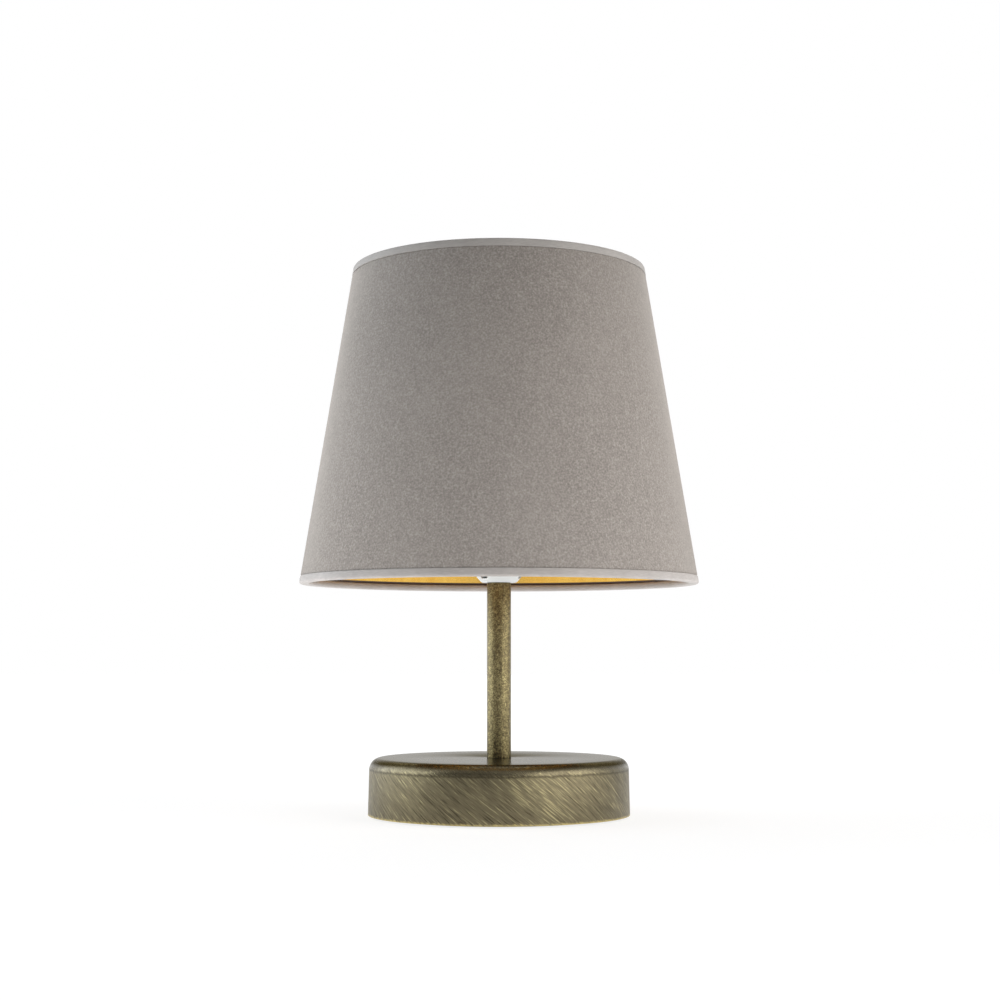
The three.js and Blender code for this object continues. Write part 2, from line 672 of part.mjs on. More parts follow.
function holderCap() {
  const shell = turned(
    [
      [tubeHole, 0],
      [CAP_FOOT_RADIUS, 0],
      [holderRadius - CAP_ROUND, CAP_CONE_HEIGHT],
      [holderRadius, CAP_CONE_HEIGHT + 2 * CAP_ROUND],
      [holderRadius, CAP_HEIGHT],
      [holderBore, CAP_HEIGHT],
      [holderBore, CAP_LEDGE],
      [ledgeBore, CAP_LEDGE],
      [ledgeBore, CAP_CONE_HEIGHT - CAP_ROUND],
      [bossRadius + FIT, CAP_FLOOR],
      [bossRadius, CAP_FLOOR],
      [bossRadius, CAP_BOSS_HEIGHT],
      [tubeHole, CAP_BOSS_HEIGHT],
    ],
    HOLDER_SIDES,
  );
  const windows = around(CAP_WINDOWS, CAP_WINDOW_ANGLE, (angle) =>
    new THREE.BoxGeometry(holderRadius, CAP_WINDOW_WIDTH, CAP_WINDOW_HEIGHT)
      .translate(bossRadius + FIT + holderRadius / 2, 0, CAP_WINDOW_SILL + CAP_WINDOW_HEIGHT / 2)
      .rotateZ(angle),
  );
  const grubHole = alongX(rod(GRUB_SCREW_RADIUS + FIT, 0, bossRadius + FIT, TINY_SIDES))
    .rotateZ(degrees(CAP_WINDOW_ANGLE))
    .translate(0, 0, CAP_BOSS_HEIGHT - GRUB_SCREW_DROP);
  return carve(shell, [...windows, grubHole]);
}

// The block that carries the contacts. It hangs from its flange, which lies on the cap's ledge.
function contactBlock() {
  const flange = holderBore - FIT;
  const drum = ledgeBore - FIT;
  const upper = drum - BLOCK_STEP;
  const flangeTop = BLOCK_DEPTH + BLOCK_FLANGE_THICKNESS;
  const top = BLOCK_TOP - CAP_LEDGE + BLOCK_DEPTH;
  const body = turned(
    [
      [0, 0],
      [drum, 0],
      [drum, BLOCK_DEPTH],
      [flange, BLOCK_DEPTH],
      [flange, flangeTop],
      [upper, flangeTop],
      [upper, top],
      [0, top],
    ],
    HOLDER_SIDES,
  );
  const wireHoles = [-1, 1].map((side) =>
    rod(LEAD_RADIUS + LOOSE, -1, BLOCK_DEPTH + 1, TINY_SIDES).translate(side * TERMINAL_OFFSET, 0, 0),
  );
  const screwHoles = [-1, 1].map((side) =>
    alongY(rod(TERMINAL_SCREW_RADIUS + FIT, -drum, -LEAD_RADIUS - FIT, TINY_SIDES))
      .translate(side * TERMINAL_OFFSET, 0, BLOCK_DEPTH / 2),
  );
  const slotSize = 2 * (CONTACT_TAB + FIT);
  const contactSlot = new THREE.BoxGeometry(CONTACT_THICKNESS + 2 * FIT, CONTACT_WIDTH + 2 * FIT, slotSize)
    .translate(CONTACT_REACH - CONTACT_THICKNESS / 2, 0, top);
  return carve(body, [...wireHoles, ...screwHoles, contactSlot]);
}

function screwShell() {
  const outer = shellBore + SHELL_WALL;
  const flangeBore = shellBore - SHELL_FLANGE_WIDTH;
  return turned(
    [
      [flangeBore, 0],
      [outer, 0],
      [outer, SHELL_HEIGHT],
      [shellBore, SHELL_HEIGHT],
      [shellBore, SHELL_WALL],
      [flangeBore, SHELL_WALL],
    ],
    HOLDER_SIDES,
  );
}

// A leaf spring: a tab in the block's slot, a foot on the block, and a tongue that rises to the bulb's tip.
function centreContact() {
  const t = CONTACT_THICKNESS;
  const rise = CONTACT_RISE;
  const outline = new THREE.Shape()
    .moveTo(CONTACT_REACH, -CONTACT_TAB)
    .lineTo(CONTACT_REACH, t)
    .lineTo(CONTACT_REACH - 3, t)
    .lineTo(CONTACT_PAD, rise + t)
    .lineTo(-CONTACT_PAD, rise + t)
    .lineTo(-CONTACT_PAD - t, rise - t)
    .lineTo(-CONTACT_PAD, rise - t)
    .lineTo(-CONTACT_PAD + t, rise)
    .lineTo(CONTACT_PAD - t, rise)
    .lineTo(CONTACT_REACH - 3.4, 0)
    .lineTo(CONTACT_REACH - t, 0)
    .lineTo(CONTACT_REACH - t, -CONTACT_TAB);
  return slab(outline, CONTACT_WIDTH).rotateX(Math.PI / 2).translate(0, CONTACT_WIDTH / 2, 0);
}

// The sleeve plugs into the cap. Its collar is the shade's seat, and its lip closes in on the bulb's neck.
function holderSleeve() {
  const spigot = holderBore - FIT;
  const spigotBore = spigot - HOLDER_WALL + FIT;
  const lip = bulbNeckRadius + SLEEVE_LIP_GAP;
  return turned(
    [
      [spigotBore, CAP_HEIGHT - SPIGOT_LENGTH],
      [spigot, CAP_HEIGHT - SPIGOT_LENGTH],
      [spigot, CAP_HEIGHT],
      [holderRadius, CAP_HEIGHT],
      [seatRadius, SEAT_HEIGHT - SEAT_THICKNESS],
      [seatRadius, SEAT_HEIGHT],
      [holderRadius, SEAT_HEIGHT],
      [holderRadius, SLEEVE_TOP - SLEEVE_ROUND],
      [holderRadius - SLEEVE_ROUND, SLEEVE_TOP],
      [lip, SLEEVE_TOP],
      [lip, SLEEVE_TOP - HOLDER_WALL],
      [holderBore, SLEEVE_TOP - HOLDER_WALL],
      [holderBore, CAP_HEIGHT + HOLDER_WALL],
      [spigotBore, CAP_HEIGHT],
    ],
    HOLDER_SIDES,
  );
}

function makeHolder() {
  const blockZ = CAP_LEDGE - BLOCK_DEPTH;
  const terminalY = -LEAD_RADIUS - LOOSE - TERMINAL_SCREW_LENGTH;
  const terminals = { neutral_terminal_screw: -TERMINAL_OFFSET, live_terminal_screw: TERMINAL_OFFSET };
  const terminalScrews = Object.entries(terminals).map(([name, x]) => {
    const screw = alongY(slottedScrew(TERMINAL_SCREW_RADIUS, TERMINAL_SCREW_LENGTH));
    return piece(name, screw, "brass", x, terminalY, blockZ + BLOCK_DEPTH / 2);
  });
  const grubScrew = alongX(rod(GRUB_SCREW_RADIUS, tubeHole, bossRadius, TINY_SIDES))
    .rotateZ(degrees(CAP_WINDOW_ANGLE));
  const holder = group(
    piece("holder_cap", holderCap(), "whitePlastic"),
    piece("holder_grub_screw", grubScrew, "steel", 0, 0, CAP_BOSS_HEIGHT - GRUB_SCREW_DROP),
    piece("contact_block", contactBlock(), "whitePlastic", 0, 0, blockZ),
    ...terminalScrews,
    piece("screw_shell", screwShell(), "brass", 0, 0, BLOCK_TOP),
    piece("centre_contact", centreContact(), "brass", 0, 0, BLOCK_TOP + HAIR),
    piece("holder_sleeve", holderSleeve(), "whitePlastic"),
  );
  holder.position.z = holderZ;
  return holder;
}

// Round nut over the shade's carrier, with grip notches round its flange
function makeShadeRing() {
  const bore = holderRadius + FIT;
  const hub = bore + RING_WALL;
  const flange = carrierRadius + RING_OVERHANG;
  const body = turned(
    [
      [bore, 0],
      [flange, 0],
      [flange, RING_FLANGE_THICKNESS],
      [hub + RING_FILLET, RING_FLANGE_THICKNESS],
      [hub, RING_FLANGE_THICKNESS + RING_FILLET],
      [hub, RING_HEIGHT - RING_ROUND],
      [hub - RING_ROUND, RING_HEIGHT],
      [bore, RING_HEIGHT],
    ],
    HOLDER_SIDES,
  );
  const notches = around(RING_NOTCHES, 0, (angle) =>
    rod(RING_NOTCH_RADIUS, -1, RING_FLANGE_THICKNESS + 1, TINY_SIDES)
      .translate(flange + RING_NOTCH_RADIUS - RING_NOTCH_DEPTH, 0, 0)
      .rotateZ(angle),
  );
  return piece("shade_ring_nut", carve(body, notches), "whitePlastic", 0, 0, seatZ + CARRIER_THICKNESS);
}

// Bulb, with heights above its tip

const insulatorTop = BULB_TIP_HEIGHT + BULB_INSULATOR_HEIGHT;
const housingTop = BULB_CAP_TOP + BULB_HOUSING_HEIGHT;

// Points up one side of the candle-shaped globe, set in by a wall.
function globeSide(wall) {
  const straight = housingTop + BULB_SHOULDER;
  const top = BULB_LENGTH - wall;
  const dome = Array.from({ length: GLOBE_STEPS + 1 }, (_, i) => {
    const share = Math.sin((Math.PI / 2) * (i / GLOBE_STEPS));
    const radius = i === GLOBE_STEPS ? 0 : (BULB_RADIUS - wall) * (1 - share ** 2) ** BULB_TAPER;
    return [radius, straight + (top - straight) * share];
  });
  return [[BULB_RADIUS - wall, housingTop], ...dome];
}

function bulbCap() {
  return turned(
    [
      [0, insulatorTop],
      [BULB_INSULATOR_RADIUS, insulatorTop],
      [BULB_CAP_RADIUS - BULB_CAP_ROUND, insulatorTop + BULB_CAP_SHOULDER],
      [BULB_CAP_RADIUS, insulatorTop + BULB_CAP_SHOULDER + 2 * BULB_CAP_ROUND],
      [BULB_CAP_RADIUS, BULB_CAP_TOP],
      [0, BULB_CAP_TOP],
    ],
    HOLDER_SIDES,
  );
}

function bulbHousing() {
  return turned(
    [
      [0, BULB_CAP_TOP],
      [bulbNeckRadius, BULB_CAP_TOP],
      [bulbNeckRadius, BULB_CAP_TOP + BULB_NECK_HEIGHT],
      [BULB_RADIUS, housingTop - BULB_HOUSING_BAND],
      [BULB_RADIUS, housingTop],
      [0, housingTop],
    ],
    HOLDER_SIDES,
  );
}

function bulbInsulator() {
  return turned(
    [
      [0, BULB_TIP_HEIGHT],
      [BULB_TIP_RADIUS + LOOSE, BULB_TIP_HEIGHT],
      [BULB_INSULATOR_RADIUS, insulatorTop],
      [0, insulatorTop],
    ],
    HOLDER_SIDES,
  );
}

function bulbTip() {
  return turned(
    [
      [0, 0],
      [BULB_TIP_RADIUS - BULB_TIP_HEIGHT, 0],
      [BULB_TIP_RADIUS, BULB_TIP_HEIGHT],
      [0, BULB_TIP_HEIGHT],
    ],
    SMALL_SIDES,
  );
}

function makeBulb() {
  const globe = turned([...globeSide(BULB_WALL).reverse(), ...globeSide(0)], HOLDER_SIDES);
  const bulb = group(
    piece("bulb_tip_contact", bulbTip(), "steel"),
    piece("bulb_insulator", bulbInsulator(), "blackGlass"),
    piece("bulb_cap", bulbCap(), "steel"),
    piece("bulb_housing", bulbHousing(), "whitePlastic"),
    piece("bulb_globe", globe, "opal"),
  );
  bulb.position.z = bulbZ;
  return bulb;
}

// Shade, with heights above its lower edge

// Radius of the shade's outside at a height, taken in by a depth.
function shadeRadius(height, depth = 0) {
  const slope = (SHADE_BOTTOM_RADIUS - SHADE_TOP_RADIUS) / SHADE_HEIGHT;
  return SHADE_BOTTOM_RADIUS - slope * height - depth;
}

// Depths of each layer's outer face below the shade's outside
const fabricDepth = TRIM_WALL + FIT;
const linerDepth = fabricDepth + FABRIC_WALL + FIT;
const wireDepth = linerDepth + LINER_WALL + FIT + RING_WIRE_RADIUS;
const layerEnd = TRIM_WALL + 2 * FIT; // the layers stop this far short of each edge
const wireEnd = TRIM_WALL + FIT + RING_WIRE_RADIUS;

function coneLayer(depth, wall) {
  const bottom = layerEnd;
  const top = SHADE_HEIGHT - layerEnd;
  return turned(
    [
      [shadeRadius(bottom, depth + wall), bottom],
      [shadeRadius(bottom, depth), bottom],
      [shadeRadius(top, depth), top],
      [shadeRadius(top, depth + wall), top],
    ],
    SHADE_SIDES,
  );
}

// The radius of the ring wire's centre line at the lower or the upper edge.
function wireCentre(atTop) {
  return atTop ? shadeRadius(SHADE_HEIGHT - TRIM_WALL - FIT, wireDepth) : shadeRadius(wireEnd, wireDepth);
}

function ringWire(atTop) {
  const section = arc(wireCentre(atTop), 0, RING_WIRE_RADIUS, 0, 360, WIRE_SIDES).slice(0, -1);
  return turned(section, SHADE_SIDES);
}

// The cloth trim: a band outside, a fold over the edge, and a roll round the wire.
function trim(atTop) {
  const outside = (height, depth) => shadeRadius(atTop ? SHADE_HEIGHT - height : height, depth);
  const corner = outside(TRIM_ROUND, TRIM_ROUND);
  const wireGrip = RING_WIRE_RADIUS + FIT;
  const profile = [
    ...arc(corner, TRIM_ROUND, TRIM_ROUND, -90, 0, 1),
    [outside(TRIM_WIDTH, 0), TRIM_WIDTH],
    [outside(TRIM_WIDTH, TRIM_WALL), TRIM_WIDTH],
    ...arc(corner, TRIM_ROUND, TRIM_ROUND - TRIM_WALL, 0, -90, 1),
    ...arc(wireCentre(atTop), wireEnd, wireGrip, 270, TRIM_ROLL_END, ROLL_STEPS),
    ...arc(wireCentre(atTop), wireEnd, wireGrip + TRIM_WALL, TRIM_ROLL_END, 270, ROLL_STEPS),
  ];
  const upright = atTop ? profile.map(([r, z]) => [r, SHADE_HEIGHT - z]).reverse() : profile;
  return turned(upright, SHADE_SIDES);
}

// A wire arm along +X, from the trim at the lower edge up to the underside of the carrier ring.
function carrierArm() {
  const start = wireCentre(false) - RING_WIRE_RADIUS - FIT - TRIM_WALL - FIT;
  const underside = CARRIER_RISE - ARM_RADIUS - FIT;
  const path = smoothPath([
    [start, 0, wireEnd],
    [start - 5, 0, wireEnd + 0.4],
    [start - 14, 0, wireEnd + 4],
    [carrierRadius + 14, 0, underside - 4],
    [carrierRadius + 5, 0, underside],
    [seatRadius + LOOSE, 0, underside],
  ]);
  return wireAlong(path, ARM_RADIUS, 16);
}

function makeShade() {
  const arms = around(ARM_COUNT, ARM_ANGLE, (angle, i) => {
    const arm = piece(`carrier_arm_${i + 1}`, carrierArm(), "whitePaint");
    arm.rotation.z = angle;
    return arm;
  });
  const carrier = tube(carrierBore, carrierRadius, 0, CARRIER_THICKNESS, HOLDER_SIDES);
  const shade = group(
    piece("shade_fabric", coneLayer(fabricDepth, FABRIC_WALL), "velvet"),
    piece("shade_liner", coneLayer(linerDepth, LINER_WALL), "gold"),
    piece("top_trim", trim(true), "trim"),
    piece("bottom_trim", trim(false), "trim"),
    piece("top_ring_wire", ringWire(true), "whitePaint", 0, 0, SHADE_HEIGHT - wireEnd),
    piece("bottom_ring_wire", ringWire(false), "whitePaint", 0, 0, wireEnd),
    piece("carrier_ring", carrier, "whitePaint", 0, 0, CARRIER_RISE),
    ...arms,
  );
  shade.position.z = shadeZ;
  return shade;
}

const lamp = group(
  makeBase(),
  makeStem(),
  makeWiring(),
  makeHolder(),
  makeBulb(),
  makeShadeRing(),
  makeShade(),
);
lamp.name = "table_lamp";

export default lamp;
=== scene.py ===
"""Looks of a small table lamp with a velvet shade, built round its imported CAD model.

Blender works in metres, and the sizes below are millimetres. +Z is up, the front faces -Y, and the
origin is the middle of the underside.
"""

import logging
import math
from abc import ABC, abstractmethod
from collections.abc import Callable, Iterator, Sequence
from contextlib import contextmanager
from dataclasses import dataclass
from enum import Enum
from functools import cache

import bmesh
import bpy
from mathutils import Matrix, Vector


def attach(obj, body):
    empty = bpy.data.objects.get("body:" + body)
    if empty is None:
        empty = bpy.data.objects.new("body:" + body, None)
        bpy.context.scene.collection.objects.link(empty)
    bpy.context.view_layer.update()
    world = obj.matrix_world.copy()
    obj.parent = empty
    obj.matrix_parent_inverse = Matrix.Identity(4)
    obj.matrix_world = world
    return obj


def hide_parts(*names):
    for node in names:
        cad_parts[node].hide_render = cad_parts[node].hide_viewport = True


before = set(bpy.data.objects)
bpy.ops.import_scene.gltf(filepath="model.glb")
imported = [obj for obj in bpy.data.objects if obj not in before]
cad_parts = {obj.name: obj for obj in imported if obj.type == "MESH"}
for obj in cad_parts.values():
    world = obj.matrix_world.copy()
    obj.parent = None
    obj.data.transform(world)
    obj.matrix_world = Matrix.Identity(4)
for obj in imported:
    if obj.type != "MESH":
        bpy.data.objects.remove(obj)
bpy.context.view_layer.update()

MM = 0.001
MERGE = 2e-6  # corners nearer than this are one
THREAD_SIDES = 48  # steps of one turn of a thread
log = logging.getLogger("table_lamp")

Corner = tuple[float, ...]  # radius, height and, where the corner is rounded, its rounding
Screen = tuple[int, int, int]  # a colour of 0 to 255, as a screen shows it
Object = bpy.types.Object
Socket = bpy.types.NodeSocket


class Body(Enum):
    """The moving bodies of the lamp."""

    LAMP = "lamp_body"
    SHADE = "shade"
    RING = "shade_ring"
    BULB = "bulb"


class Slot(Enum):
    """Names of the record's material slots, passed along with the new pieces."""

    BRASS_FINISH = "antique_brass"
    ZINC = "zinc_steel"
    BLACK_STEEL = "black_steel"
    FELT = "felt"
    RUBBER = "rubber"
    BRASS = "brass"
    WHITE_PLASTIC = "white_plastic"
    WHITE_PAINT = "white_paint"
    OPAL = "opal"
    BLACK_GLASS = "black_glass"
    VELVET = "velvet"
    TRIM = "trim_tape"
    GOLD = "gold_foil"


# Modelling


def wake(piece: Object) -> None:
    """Makes a piece the only one that operators act on."""
    bpy.ops.object.select_all(action="DESELECT")
    piece.select_set(True)
    bpy.context.view_layer.objects.active = piece


def started(add: Callable[..., object], name: str, **settings: object) -> Object:
    """Adds a primitive with nothing else selected.

    Args:
        add: The operator that adds the primitive.
        name: The new piece's name.
        settings: The primitive's size and place, in metres.

    Returns:
        The new piece.
    """
    bpy.ops.object.select_all(action="DESELECT")
    add(**settings)
    piece = bpy.context.object
    piece.name = piece.data.name = name
    return piece


@contextmanager
def editing(piece: Object) -> Iterator[None]:
    """Opens a piece in edit mode with all of it selected, and closes it again."""
    wake(piece)
    bpy.ops.object.mode_set(mode="EDIT")
    bpy.ops.mesh.select_mode(type="VERT")
    bpy.ops.mesh.select_all(action="SELECT")
    yield
    bpy.ops.object.mode_set(mode="OBJECT")


def choose(piece: Object, kind: str, test: Callable[[Vector, Vector], bool]) -> None:
    """Selects parts of a piece that is open in edit mode.

    Args:
        piece: The piece.
        kind: VERT, EDGE or FACE.
        test: Says whether a part is selected, from its middle in millimetres and its normal.
    """
    bpy.ops.mesh.select_mode(type=kind)
    bpy.ops.mesh.select_all(action="DESELECT")
    shape = bmesh.from_edit_mesh(piece.data)
    parts, middle, normal = {
        "VERT": (shape.verts, lambda part: part.co, lambda part: part.normal),
        "EDGE": (
            shape.edges,
            lambda part: (part.verts[0].co + part.verts[1].co) / 2,
            lambda part: part.verts[0].normal,
        ),
        "FACE": (shape.faces, lambda part: part.calc_center_median(), lambda part: part.normal),
    }[kind]
    for part in parts:
        part.select = test(piece.matrix_world @ middle(part) / MM, normal(part))
    shape.select_flush_mode()
    bmesh.update_edit_mesh(piece.data)


def modified(piece: Object, kind: str, **settings: object) -> Object:
    """Adds a modifier with its settings to a piece, and applies it."""
    modifier = piece.modifiers.new(kind, kind)
    for name, value in settings.items():
        setattr(modifier, name, value)
    wake(piece)
    bpy.ops.object.modifier_apply(modifier=kind)
    return piece


def cleaned(piece: Object) -> Object:
    """Merges what a spin left double, and turns the faces outwards."""
    with editing(piece):
        bpy.ops.mesh.remove_doubles(threshold=MERGE)
        bpy.ops.mesh.normals_make_consistent(inside=False)
    return piece


def lifted(corners: Sequence[Corner], rise: float) -> list[Corner]:
    """Lifts a section's corners by a height in millimetres."""
    return [(corner[0], corner[1] + rise, *corner[2:]) for corner in corners]


def arc(
    centre: tuple[float, float], radius: float, start: float, end: float, steps: int
) -> list[Corner]:
    """Returns points on an arc of an outline, from one angle in degrees to another."""
    turns = [math.radians(start + (end - start) * i / steps) for i in range(steps + 1)]
    return [(centre[0] + radius * math.cos(t), centre[1] + radius * math.sin(t)) for t in turns]


def outlined(name: str, corners: Sequence[Corner], closed: bool = True, round_steps: int = 5) -> Object:
    """Draws half of a turned piece's section, beside the lamp's axis.

    Args:
        name: The new piece's name.
        corners: Radius and height of each corner in millimetres, and a third number that rounds it.
        closed: Whether the last corner is joined to the first.
        round_steps: How many edges each rounded corner gets.

    Returns:
        The outline as a piece with edges and no faces.
    """
    radius, height = corners[0][:2]
    piece = started(
        bpy.ops.mesh.primitive_plane_add, name, size=MM, location=(radius * MM, 0, height * MM)
    )
    with editing(piece):
        bpy.ops.mesh.merge(type="CENTER")
        for here, there in zip(corners[:-1], corners[1:]):
            step = ((there[0] - here[0]) * MM, 0, (there[1] - here[1]) * MM)
            bpy.ops.mesh.extrude_region_move(TRANSFORM_OT_translate={"value": step})
        if closed:
            ends = [Vector((end[0], 0, end[1])) for end in (corners[0], corners[-1])]
            choose(piece, "VERT", lambda at, _: min((at - end).length for end in ends) < 1e-3)
            bpy.ops.mesh.edge_face_add()
        for rounding in sorted({corner[2] for corner in corners if len(corner) > 2}):
            spots = [Vector((c[0], 0, c[1])) for c in corners if len(c) > 2 and c[2] == rounding]
            choose(piece, "VERT", lambda at, _: min((at - spot).length for spot in spots) < 1e-3)
            bpy.ops.mesh.bevel(offset=rounding * MM, segments=round_steps, affect="VERTICES")
    return piece


def spun(piece: Object, sides: int) -> Object:
    """Spins an outline once round the lamp's axis."""
    with editing(piece):
        bpy.ops.mesh.spin(steps=sides, angle=2 * math.pi, center=(0, 0, 0), axis=(0, 0, 1))
    return cleaned(piece)


def turned(
    name: str, corners: Sequence[Corner], sides: int, closed: bool = True, round_steps: int = 5
) -> Object:
    """Models a turned piece from half of its section. The arguments are those of outlined and spun."""
    return spun(outlined(name, corners, closed, round_steps), sides)


def threaded(
    name: str, section: Sequence[Corner], pitch: float, turns: float, closed: bool = True
) -> Object:
    """Models a thread that winds up round the lamp's axis.

    Args:
        name: The new piece's name.
        section: Radius and height of each corner of the thread's section.
        pitch: Rise of one turn.
        turns: How often the thread goes round.
        closed: Whether the section is closed, as on a solid ridge, or one wave of a thin shell.

    Returns:
        The thread, in place.
    """
    laps = turns if closed else 1
    steps = round(THREAD_SIDES * laps)
    piece = modified(
        outlined(name, section, closed),
        "SCREW",
        angle=2 * math.pi * laps,
        screw_offset=pitch * MM * laps,
        steps=steps,
        render_steps=steps,
        iterations=1 if closed else int(turns),
        use_merge_vertices=not closed,
        merge_threshold=MERGE,
    )
    cleaned(piece)
    if closed:
        with editing(piece):
            bpy.ops.mesh.select_all(action="DESELECT")
            bpy.ops.mesh.select_non_manifold()
            bpy.ops.mesh.edge_face_add()
    return piece


def joined(name: str, *pieces: Object) -> Object:
    """Joins several pieces into one object."""
    wake(pieces[0])
    for piece in pieces:
        piece.select_set(True)
    bpy.ops.object.join()
    pieces[0].name = pieces[0].data.name = name
    return pieces[0]


def settled(piece: Object) -> Object:
    """Moves a piece's place, turn and scale into its mesh."""
    wake(piece)
    bpy.ops.object.transform_apply(location=True, rotation=True, scale=True)
    return piece


def round_the_axis(piece: Object, turns: Sequence[float]) -> list[Object]:
    """Copies a settled piece round the lamp's axis, each copy with its own mesh.

    Args:
        piece: The piece at zero degrees. It is used up.
        turns: The angle of each copy in degrees.

    Returns:
        The copies.
    """
    copies = []
    for number, turn in enumerate(turns, 1):
        copy = piece.copy()
        copy.data = piece.data.copy()
        copy.name = copy.data.name = f"{piece.name}_{number}"
        copy.data.transform(Matrix.Rotation(math.radians(turn), 4, "Z"))
        bpy.context.collection.objects.link(copy)
        copies.append(copy)
    bpy.data.objects.remove(piece)
    return copies


def cut(piece: Object, *tools: Object) -> Object:
    """Cuts each tool's shape out of a piece, and removes the tools."""
    for tool in tools:
        modified(piece, "BOOLEAN", operation="DIFFERENCE", solver="EXACT", object=tool)
        bpy.data.objects.remove(tool)
    return piece


def walled(piece: Object, thickness: float, outwards: bool = False) -> Object:
    """Gives a shell its wall, inwards unless told otherwise."""
    return modified(piece, "SOLIDIFY", thickness=thickness * MM, offset=1 if outwards else -1)


def eased(piece: Object, width: float, steps: int = 2, angle: float = 35) -> Object:
    """Rounds the edges of a piece that are sharper than an angle in degrees."""
    limit = math.radians(angle)
    return modified(
        piece, "BEVEL", width=width * MM, segments=steps, limit_method="ANGLE", angle_limit=limit
    )


# Finishes


def colour(screen: Screen) -> tuple[float, float, float, float]:
    """Turns a screen colour into the linear values that a socket takes."""
    shares = [value / 255 for value in screen]
    red, green, blue = (s / 12.92 if s <= 0.04045 else ((s + 0.055) / 1.055) ** 2.4 for s in shares)
    return red, green, blue, 1.0


class Nodes:
    """A node tree, with short ways to add and join its nodes."""

    def __init__(self, tree: bpy.types.NodeTree) -> None:
        """Takes the tree that the nodes go into."""
        self.tree = tree

    def add(self, kind: str, inputs: dict | None = None, **settings: object) -> bpy.types.Node:
        """Adds a node.

        Args:
            kind: The node's type.
            inputs: Values of its input sockets, or sockets that are linked to them.
            settings: Its other settings.

        Returns:
            The node.
        """
        node = self.tree.nodes.new(kind)
        for name, value in settings.items():
            setattr(node, name, value)
        self.fill(node, inputs or {})
        return node

    def fill(self, node: bpy.types.Node, inputs: dict) -> None:
        """Sets or links a node's inputs, by their names or numbers."""
        for name, value in inputs.items():
            if isinstance(value, Socket):
                self.tree.links.new(value, node.inputs[name])
            else:
                node.inputs[name].default_value = value

    def math(self, operation: str, *values: Socket | float) -> Socket:
        """Works out a sum of one or more values."""
        return self.add("ShaderNodeMath", dict(enumerate(values)), operation=operation).outputs[0]

    def vector(self, operation: str, *values: Socket | tuple) -> Socket:
        """Works out a number from one or more vectors."""
        node = self.add("ShaderNodeVectorMath", dict(enumerate(values)), operation=operation)
        return node.outputs["Value"]

    def levels(
        self, value: Socket, low: float, high: float, start: float = 0, end: float = 1, **settings: str
    ) -> Socket:
        """Maps a value from one range to another, and keeps it within the second."""
        sizes = {"Value": value, "From Min": low, "From Max": high, "To Min": start, "To Max": end}
        return self.add("ShaderNodeMapRange", sizes, **settings).outputs[0]

    def blend(self, share: Socket, first: Socket | float, second: Socket | float) -> Socket:
        """Goes from one value to another."""
        rest = self.math("MULTIPLY", self.math("SUBTRACT", 1.0, share), first)
        return self.math("ADD", rest, self.math("MULTIPLY", share, second))


class Graph(Nodes):
    """The nodes of one material, with its shader and the piece's own coordinates."""

    def __init__(self, name: str) -> None:
        """Starts the material."""
        self.material = bpy.data.materials.new(name)
        self.material.use_nodes = True
        super().__init__(self.material.node_tree)
        self.shader = self.tree.nodes["Principled BSDF"]
        self.place = self.add("ShaderNodeTexCoord").outputs["Object"]

    def stretched(self, place: Socket, *scales: float) -> Socket:
        """Scales coordinates along X, Y and Z."""
        return self.add("ShaderNodeMapping", {"Vector": place, "Scale": scales}).outputs[0]

    def noise(self, place: Socket, scale: float, detail: float = 3, roughness: float = 0.55) -> Socket:
        """Returns a cloudy value of 0 to 1, at so many clouds to the metre."""
        inputs = {"Vector": place, "Scale": scale, "Detail": detail, "Roughness": roughness}
        return self.add("ShaderNodeTexNoise", inputs).outputs["Fac"]

    def height(self) -> Socket:
        """Returns how high a point lies."""
        return self.add("ShaderNodeSeparateXYZ", {"Vector": self.place}).outputs["Z"]

    def weighed(self, *parts: tuple[Socket, float]) -> Socket:
        """Adds up values, each times its weight."""
        total = self.math("MULTIPLY", *parts[0])
        for part in parts[1:]:
            total = self.math("MULTIPLY_ADD", *part, total)
        return total

    def spread(self, noise: Socket, start: float = 0, end: float = 1) -> Socket:
        """Maps the range that most of a noise keeps to."""
        return self.levels(noise, 0.3, 0.7, start, end)

    def ramp(self, share: Socket, *stops: tuple[float, Screen]) -> Socket:
        """Turns a share of 0 to 1 into a colour, through two or more stops."""
        node = self.add("ShaderNodeValToRGB", {"Fac": share})
        elements = node.color_ramp.elements
        while len(elements) < len(stops):
            elements.new(0.5)
        for element, (position, screen) in zip(elements, stops):
            element.position = position
            element.color = colour(screen)
        return node.outputs["Color"]

    def two_tone(self, noise: Socket, dark: Screen, light: Screen) -> Socket:
        """Turns a noise into two colours and what lies between them."""
        return self.ramp(self.spread(noise), (0.0, dark), (1.0, light))

    def mix(self, share: Socket, first: Socket | tuple, second: Socket | tuple) -> Socket:
        """Mixes two colours."""
        return self.add("ShaderNodeMix", {0: share, 6: first, 7: second}, data_type="RGBA").outputs[2]

    def bump(self, height: Socket, depth: float) -> None:
        """Gives the surface relief of a depth in millimetres."""
        below = self.shader.inputs["Normal"]
        under = {"Normal": below.links[0].from_socket} if below.is_linked else {}
        node = self.add("ShaderNodeBump", {"Height": height, "Distance": depth * MM, **under})
        self.tree.links.new(node.outputs[0], below)

    def feed(self, **sockets: Socket | float | tuple) -> None:
        """Sets or links sockets of the shader. An underscore stands for a space in their names."""
        self.fill(self.shader, {name.replace("_", " "): value for name, value in sockets.items()})


